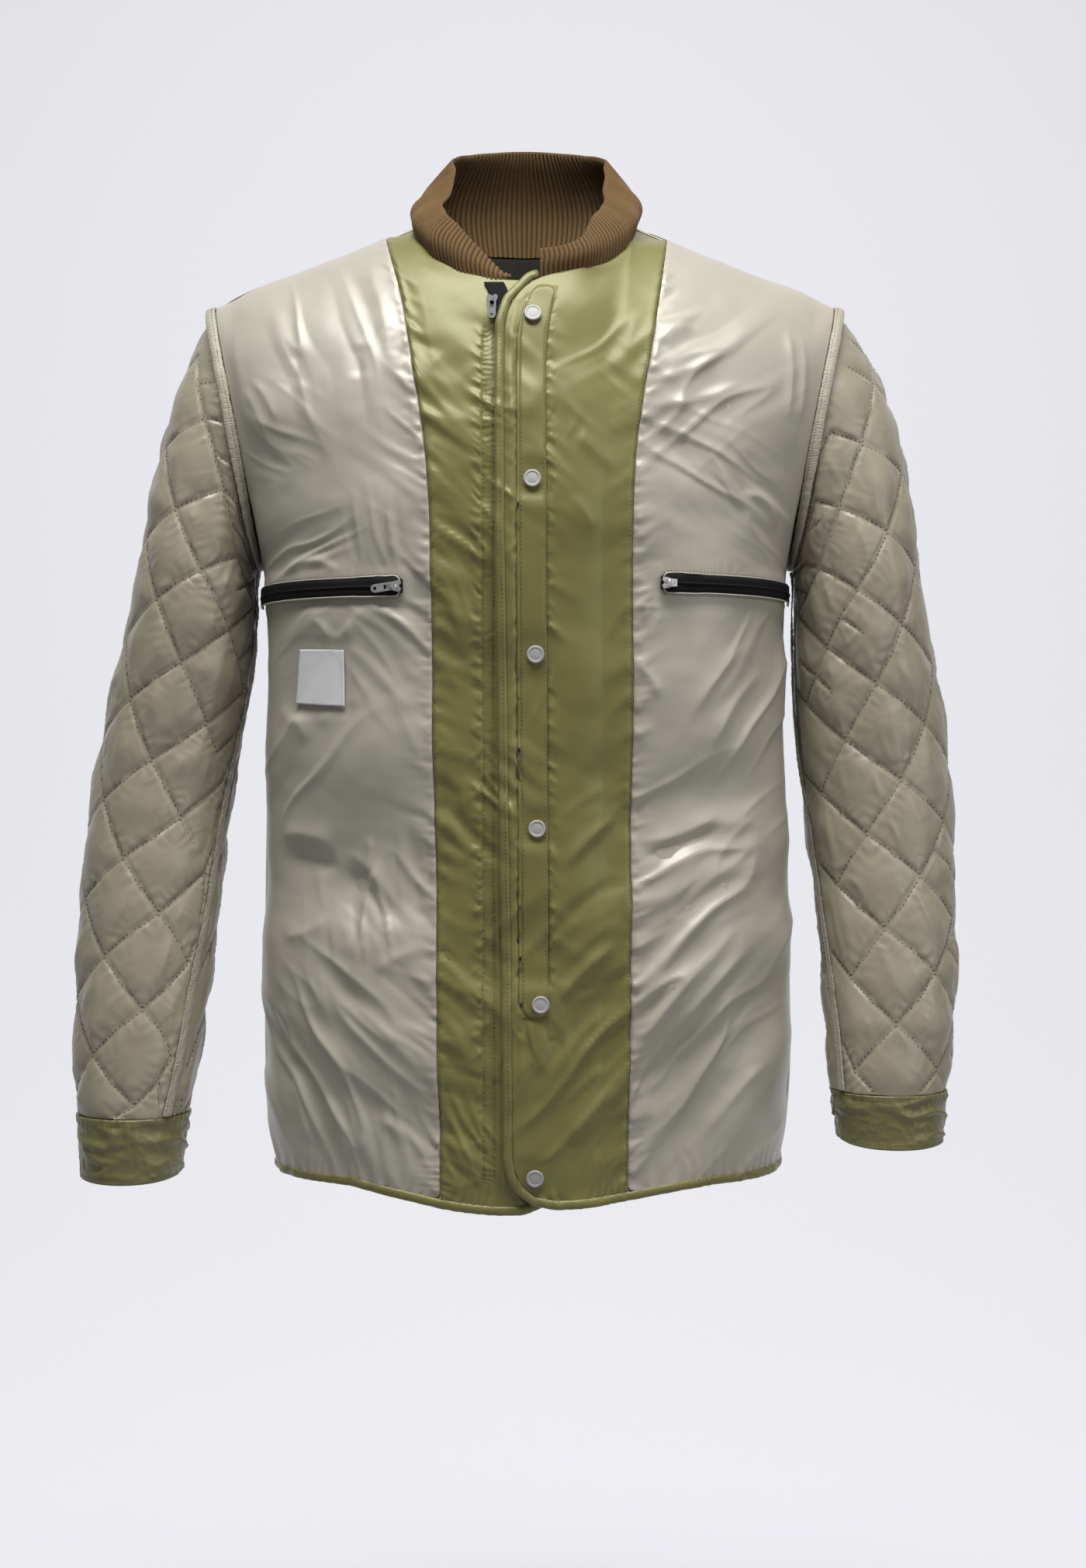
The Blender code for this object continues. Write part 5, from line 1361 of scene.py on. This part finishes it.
class JACKET_OT_collar(Operator):
    """Weave the corduroy collar, with ribs from its foot to its edge"""
    bl_idname = "jacket.collar"
    bl_label = "Collar"

    def execute(self, context):
        solid = self.solid_rows()
        steps = np.linalg.norm(np.diff(solid.mean(axis=1), axis=0), axis=1)
        foot = np.concatenate([[0], np.cumsum(steps)])
        pitch, per_rib, rows, levels = shape().rib_pitch, 8, 16, solid.shape[1]
        thickness, nap_height, lip_height, wander = 0.0030, 0.0001, 0.0012, 0.0007
        columns = int(foot[-1] / pitch * per_rib)
        spots = np.linspace(0, foot[-1], columns)
        grid = resample(resample(solid, foot, spots).swapaxes(0, 1),
                        np.arange(levels), np.linspace(0, levels - 1, rows))
        normals = unit(np.cross(np.gradient(grid, axis=1), np.gradient(grid, axis=0)))
        away = grid * np.array([1, 1, 0])
        normals *= np.sign(np.sum(normals * away))
        place = spots[None, :] + np.zeros((rows, 1))
        share = np.linspace(0, 1, rows)[:, None] + np.zeros((1, columns))
        place_on_rib = place + wander * rough(place / 0.03, share * 3, 5)
        rib = np.abs(np.cos(math.pi * place_on_rib / pitch)) ** 0.55
        sunk = (rib - 1) * shape().rib_height
        nap = nap_height * rough(place / 0.0009, share * 60, 6)
        tall = np.linalg.norm(grid[-1] - grid[0], axis=1)[None, :]
        thick = thickness * np.clip(tall / 0.014, 0.45, 1.0) * np.ones((rows, 1))
        front = grid + normals * (sunk + nap)[:, :, None]
        behind = grid - normals * (thick * 0.95 - sunk)[:, :, None]
        middle = grid[-1] - normals[-1] * (thick[-1] / 2)[:, None]
        worn = np.clip(tall / 0.012, 0.3, 1)[0][:, None]
        lip = middle + unit(grid[-1] - grid[-2]) * lip_height * worn
        mesh = grid_mesh("collar_cloth", np.concatenate([front, lip[None], behind[::-2]]))
        beat = place_on_rib / pitch
        beats = np.concatenate([beat, beat[-1:], beat[::-2]]).ravel()
        loops = np.empty(len(mesh.loops), dtype=np.int32)
        mesh.loops.foreach_get("vertex_index", loops)
        ribs = mesh.uv_layers.new(name="Ribs")
        ribs.data.foreach_set("uv", np.stack([beats[loops], 0 * beats[loops]], axis=1).ravel())
        piece = add_piece("collar_cloth", mesh, corduroy(), ["collar"])
        return {"FINISHED"}

    def solid_rows(self):
        """Rows of the solid's outer corners from the foot to the edge, side by side round the
        neck, each with one more point below the foot.
        """
        bm = node_mesh("collar")
        outer = sort_faces(bm, lambda p: Vector((p.x, p.y, 0)), 0.0036)[0]
        points = np.array([v.co for v in dict.fromkeys(v for f in outer for v in f.verts)])
        bm.free()
        turn = np.arctan2(points[:, 0], points[:, 1])
        order = np.argsort(turn)
        rows = []
        for row in np.split(points[order], np.where(np.diff(turn[order]) > 0.01)[0] + 1):
            row = row[np.argsort(row[:, 2])]
            lowest = row[:, 2] - row[0, 2] < 1e-5
            outermost = np.argmax(np.hypot(row[lowest, 0], row[lowest, 1]))
            rows.append(np.concatenate([row[lowest][outermost][None], row[~lowest]]))
        size = max(len(row) for row in rows)
        rows = np.array([row for row in rows if len(row) == size])
        below = rows[:, 0] - rows[:, 1]
        below *= 0.0025 / np.linalg.norm(below, axis=1, keepdims=True)
        return np.concatenate([(rows[:, 0] + below)[:, None], rows], axis=1)


def resample(values, at, wanted):
    """Values along the first axis at wanted places, on a smooth curve through them."""
    at, wanted = np.asarray(at, float), np.asarray(wanted, float)
    slope = np.gradient(values, at, axis=0)
    k = np.clip(np.searchsorted(at, wanted) - 1, 0, len(at) - 2)
    span = at[k + 1] - at[k]
    r = (wanted - at[k]) / span
    shaped = (slice(None),) + (None,) * (values.ndim - 1)
    r, span = r[shaped], span[shaped]
    return (values[k] * (2 * r**3 - 3 * r**2 + 1) + slope[k] * span * (r**3 - 2 * r**2 + r)
            + values[k + 1] * (3 * r**2 - 2 * r**3) + slope[k + 1] * span * (r**3 - r**2))


def grid_mesh(name, grid):
    """A mesh of four-sided faces over rows and columns of points."""
    rows, columns = grid.shape[:2]
    n = np.arange(rows * columns).reshape(rows, columns)
    faces = np.stack([n[:-1, :-1], n[:-1, 1:], n[1:, 1:], n[1:, :-1]], axis=-1)
    mesh = bpy.data.meshes.new(name)
    mesh.from_pydata(grid.reshape(-1, 3).tolist(), [], faces.reshape(-1, 4).tolist())
    mesh.update()
    return mesh


class JACKET_OT_trims(Operator):
    """Lay the snap strip, zip tapes and label on the cloth"""
    bl_idname = "jacket.trims"
    bl_label = "Strip, tapes and label"

    def execute(self, context):
        relief, tape = front_relief(), tape_cloth()
        for node, material, slot, cut, levels in (
                ("snap_strip", olive(), "olive_sateen", "strip", 3),
                ("pocket_zip_right", tape, "black_zip_tape", "pocket_tape", 2),
                ("pocket_zip_left", tape, "black_zip_tape", "pocket_tape", 2),
                ("front_zip", tape, "black_zip_tape", "front_tape", 2),
                ("label", label_cloth(), "white_label", "label", 3)):
            outer, inner = skins(node, from_body, levels, reach=0.003,
                                 kind="CATMULL_CLARK" if node == "snap_strip" else "SIMPLE")
            for mesh in (outer, inner):
                if node.startswith("pocket"):
                    self.square_off(mesh)
                if node != "front_zip":
                    co = places(mesh)
                    put_places(mesh, raised(co, relief(co)))
            add_cloth(node, outer, inner, material)
            if node.startswith("pocket"):
                self.lip(node, outer)
            elif node == "label":
                self.label_stitches(tree_of(outer))
            elif node == "snap_strip":
                self.strip_edge(tree_of(outer))
        return {"FINISHED"}

    def label_stitches(self, tree):
        """One row of stitches round the label."""
        low, high = box_of("label")
        x0, x1, z0, z1 = low[0] + 0.0012, high[0] - 0.0026, low[2] + 0.0018, high[2] - 0.0016
        turns = [(x0, z0), (x0 + 0.0012, z1), (x1, z1), (x1 + 0.0008, z0), (x0, z0)]
        rows = [seen_points(tree, np.linspace(a[0], b[0], 12), np.linspace(a[1], b[1], 12))
                for a, b in zip(turns, turns[1:])]
        stitched("label_stitches", rows, tree, thread("Label", colours().label_thread),
                 pitch=0.0024)

    def strip_edge(self, tree):
        """The snap strip's turned left edge, and its two rows of stitches."""
        z, left, right = strip_edges("snap_strip")
        edge = np.array(seen_points(tree, left + 0.0007, z))
        edge[:, 0] -= 0.0012
        edge[:, 1] += 0.0009
        cord("strip_fold", edge, STRIP_CORD, olive())
        rows = [seen_points(tree, left + 0.0016, z), seen_points(tree, right - 0.0016, z)]
        stitched("strip_stitches", rows, tree, olive_thread())

    def square_off(self, mesh, radius=0.0032, taller=0.0007, step=0.001):
        """Give a pocket's tape its full height up to its rounded inner end."""
        co = places(mesh)
        inner_end = np.abs(co[:, 0]).min()
        gap = np.abs(co[:, 0]) - inner_end
        keys = np.round(gap / step)
        marks = np.unique(keys[gap < 0.05])
        top = np.array([co[keys == k][:, 2].max() for k in marks])
        bottom = np.array([co[keys == k][:, 2].min() for k in marks])
        tall = np.median((top - bottom)[marks > 20]) / 2
        line = np.polyfit(marks[marks > 12], ((top + bottom) / 2)[marks > 12], 1)
        near = gap < 0.03
        now = np.interp(gap, marks * step, (top - bottom) / 2)
        centre = np.interp(gap, marks * step, (top + bottom) / 2)
        round_end = np.sqrt(np.maximum(radius**2 - np.maximum(radius - gap, 0.0) ** 2, 0.0))
        wanted = tall + taller - radius + round_end
        share = np.where(near, wanted / np.maximum(now, 0.001), 1 + taller / tall)
        target = np.where(gap < 0.014, np.polyval(line, gap / step), centre)
        moved = target + (co[:, 2] - centre) * share
        co[:, 2] = np.where(near, moved, co[:, 2])
        end = gap > gap.max() - 0.005
        beside = co[(gap > gap.max() - 0.012) & ~end][:, 2]
        co[end, 2] = np.clip(co[end, 2], beside.min() - 0.0004, beside.max() + 0.0004)
        put_places(mesh, co)

    def lip(self, node, tape):
        """Turned edge of the cloth round a pocket's tape, with its stitches and coil."""
        tree = tree_of(tape)
        low, high = box_of(node)
        heights = np.arange(low[2] - 0.003, high[2] + 0.003, 0.0004)
        upper, lower = [], []
        for x in np.arange(low[0] + 0.0008, high[0] - 0.0006, 0.0015):
            hits = seen_points(tree, np.full(len(heights), x), heights)
            if len(hits) > 2:
                upper.append(hits[-1])
                lower.append(hits[0])
        path = np.array(upper + lower[::-1] if "right" in node else upper[::-1] + lower)
        middle = path.mean(axis=0)
        path[:, 2] += np.sign(path[:, 2] - middle[2]) * 0.0004
        path = smoothed(path, 3)
        cord(node + "_lip", path, LIP_CORD, taupe())
        coil = (np.array(upper) + np.array(lower)) / 2 - np.array((0, 0.0002, 0))
        cord(node + "_coil", coil, COIL_CORD, tape_cloth())
        path[:, 2] += np.sign(path[:, 2] - middle[2]) * 0.0016
        panel = tree_of(bpy.data.objects[node.replace("pocket_zip", "front") + "_cloth"].data)
        stitched(node + "_stitches", [path], panel, thread("Pocket", colours().pocket_thread),
                 pitch=0.0028)


class JACKET_OT_metal(Operator):
    """Finish the snaps, sliders and pull tabs"""
    bl_idname = "jacket.metal"
    bl_label = "Snaps and sliders"

    def execute(self, context):
        brushed = metal("Brushed snap", 0.9, 0.80, 0.00004, 0.85)
        bright = metal("Bright slider", 1.3, 0.42, metallic=0.9)
        # Painted shade: the front slider and its tab get the metal made far darker, partly a
        # darker metal and partly shade where they lie half hidden under the placket
        shaded_dark_metal = metal("Dark slider in painted shade", 0.10, 0.50)
        for node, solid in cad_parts.items():
            if is_snap(node):
                self.cap(node, brushed)
            elif "slider" in node or "tab" in node:
                solid.data.materials.clear()
                solid.data.materials.append(shaded_dark_metal if node.startswith("front_") else bright)
                solid.data.shade_smooth()
                solid.data.set_sharp_from_angle(angle=SHARP_METAL)
        return {"FINISHED"}

    def cap(self, node, finish, sides=48):
        """A snap's cap: a low dome inside a rolled rim."""
        co = corners(node)
        middle = (co.max(axis=0) + co.min(axis=0)) / 2
        axis = np.linalg.svd(co - co.mean(axis=0), full_matrices=False)[2][2]
        axis *= np.sign(axis @ body_out(middle[None])[0])
        deep = (co - middle) @ axis
        flat = co - middle - deep[:, None] * axis
        radius = np.linalg.norm(flat, axis=1).max()
        across = unit(np.cross(axis, (0.0, 0.0, 1.0)))
        upward = np.cross(across, axis)
        turns = np.linspace(0, TURN, sides + 1)
        ways = np.cos(turns)[:, None] * across + np.sin(turns)[:, None] * upward
        top = middle + axis * deep.max()
        grid = np.array([top + ways * radius * r + axis * h * MM for r, h in CAP_OUTLINE])
        add_piece(node + "_cap", grid_mesh(node + "_cap", grid), finish, [node])


class JACKET_OT_stage(Operator):
    """Set a pale floor that curves up into the wall and glows, brighter towards the wall, and soft
    lights
    """
    bl_idname = "jacket.stage"
    bl_label = "Stage"

    def execute(self, context):
        front, foot, floor_z, radius, top, half = -3.2, 1.0, -1.35, 1.2, 3.2, 5.0
        line = [(front, floor_z), (foot, floor_z)]
        for k in range(1, 9):
            turn = math.radians(90) * k / 8
            line.append((foot + radius * math.sin(turn), floor_z + radius * (1 - math.cos(turn))))
        line.append((foot + radius, top))
        grid = np.array([[(x, y, z) for x in (-half, half)] for y, z in line])
        mesh = grid_mesh("backdrop", grid)
        material, nodes, surface = new_material("Backdrop paper")
        glow = group_node(nodes, "Backdrop glow", glow_group)
        # Painted light: the backdrop glows of itself, dim in front and brighter towards the wall,
        # and so also lights the jacket
        nodes.feed(surface, Base_Color=cloudy(nodes, colours().backdrop, 0.015, Size=1.5),
                   Roughness=0.9, Emission_Color=glow.outputs[0], Emission_Strength=0.52)
        floor = bpy.data.objects.new("backdrop", mesh)
        mesh.materials.append(material)
        mesh.shade_smooth()
        context.scene.collection.objects.link(floor)
        middle = Vector((0, 0, -0.34))
        for name, place, size, power in (
                ("Key", (-0.10, -0.95, 1.75), (1.7, 0.8), studio().key),
                ("Fill", (1.7, -1.5, 0.2), (0.6, 1.8), studio().fill),
                ("Top", (0.0, -0.2, 2.2), (2.4, 1.4), studio().top)):
            data = bpy.data.lights.new(name, "AREA")
            data.shape = "RECTANGLE"
            data.size, data.size_y = size
            data.energy = power
            light = bpy.data.objects.new(name, data)
            light.location = place
            light.rotation_euler = (middle - Vector(place)).to_track_quat("-Z", "Y").to_euler()
            context.scene.collection.objects.link(light)
        world = bpy.data.worlds.new("Studio")
        world.use_nodes = True
        sky = world.node_tree.nodes["Background"]
        sky.inputs["Color"].default_value = (0.93, 0.95, 1.0, 1.0)
        sky.inputs["Strength"].default_value = studio().sky
        context.scene.world = world
        context.scene.view_settings.view_transform = "Standard"
        return {"FINISHED"}


class JACKET_PT_panel(Panel):
    """Shows the jacket's settings and a button for each step"""
    bl_idname = "JACKET_PT_panel"
    bl_label = "Quilted jacket"
    bl_space_type = "VIEW_3D"
    bl_region_type = "UI"
    bl_category = "Jacket"

    def draw(self, context):
        for group in (context.scene.jacket_shape, context.scene.jacket_colours,
                      context.scene.jacket_studio):
            box = self.layout.box()
            for key in group.bl_rna.properties.keys():
                if key not in ("rna_type", "name"):
                    box.prop(group, key)
        for step in STEPS:
            self.layout.operator(step.bl_idname)


STEPS = (JACKET_OT_camera, JACKET_OT_front, JACKET_OT_back, JACKET_OT_sleeves, JACKET_OT_seams,
         JACKET_OT_cuffs, JACKET_OT_collar, JACKET_OT_trims, JACKET_OT_metal, JACKET_OT_stage)
CLASSES = (JacketShape, JacketColours, JacketStudio, *STEPS, JACKET_PT_panel)


def register():
    for cls in CLASSES:
        bpy.utils.register_class(cls)
    bpy.types.Scene.jacket_shape = PointerProperty(type=JacketShape)
    bpy.types.Scene.jacket_colours = PointerProperty(type=JacketColours)
    bpy.types.Scene.jacket_studio = PointerProperty(type=JacketStudio)


def unregister():
    for name in ("jacket_shape", "jacket_colours", "jacket_studio"):
        delattr(bpy.types.Scene, name)
    for cls in reversed(CLASSES):
        bpy.utils.unregister_class(cls)


def main():
    register()
    for step in STEPS:
        group, name = step.bl_idname.split(".")
        getattr(getattr(bpy.ops, group), name)()


if __name__ == "__main__":
    main()
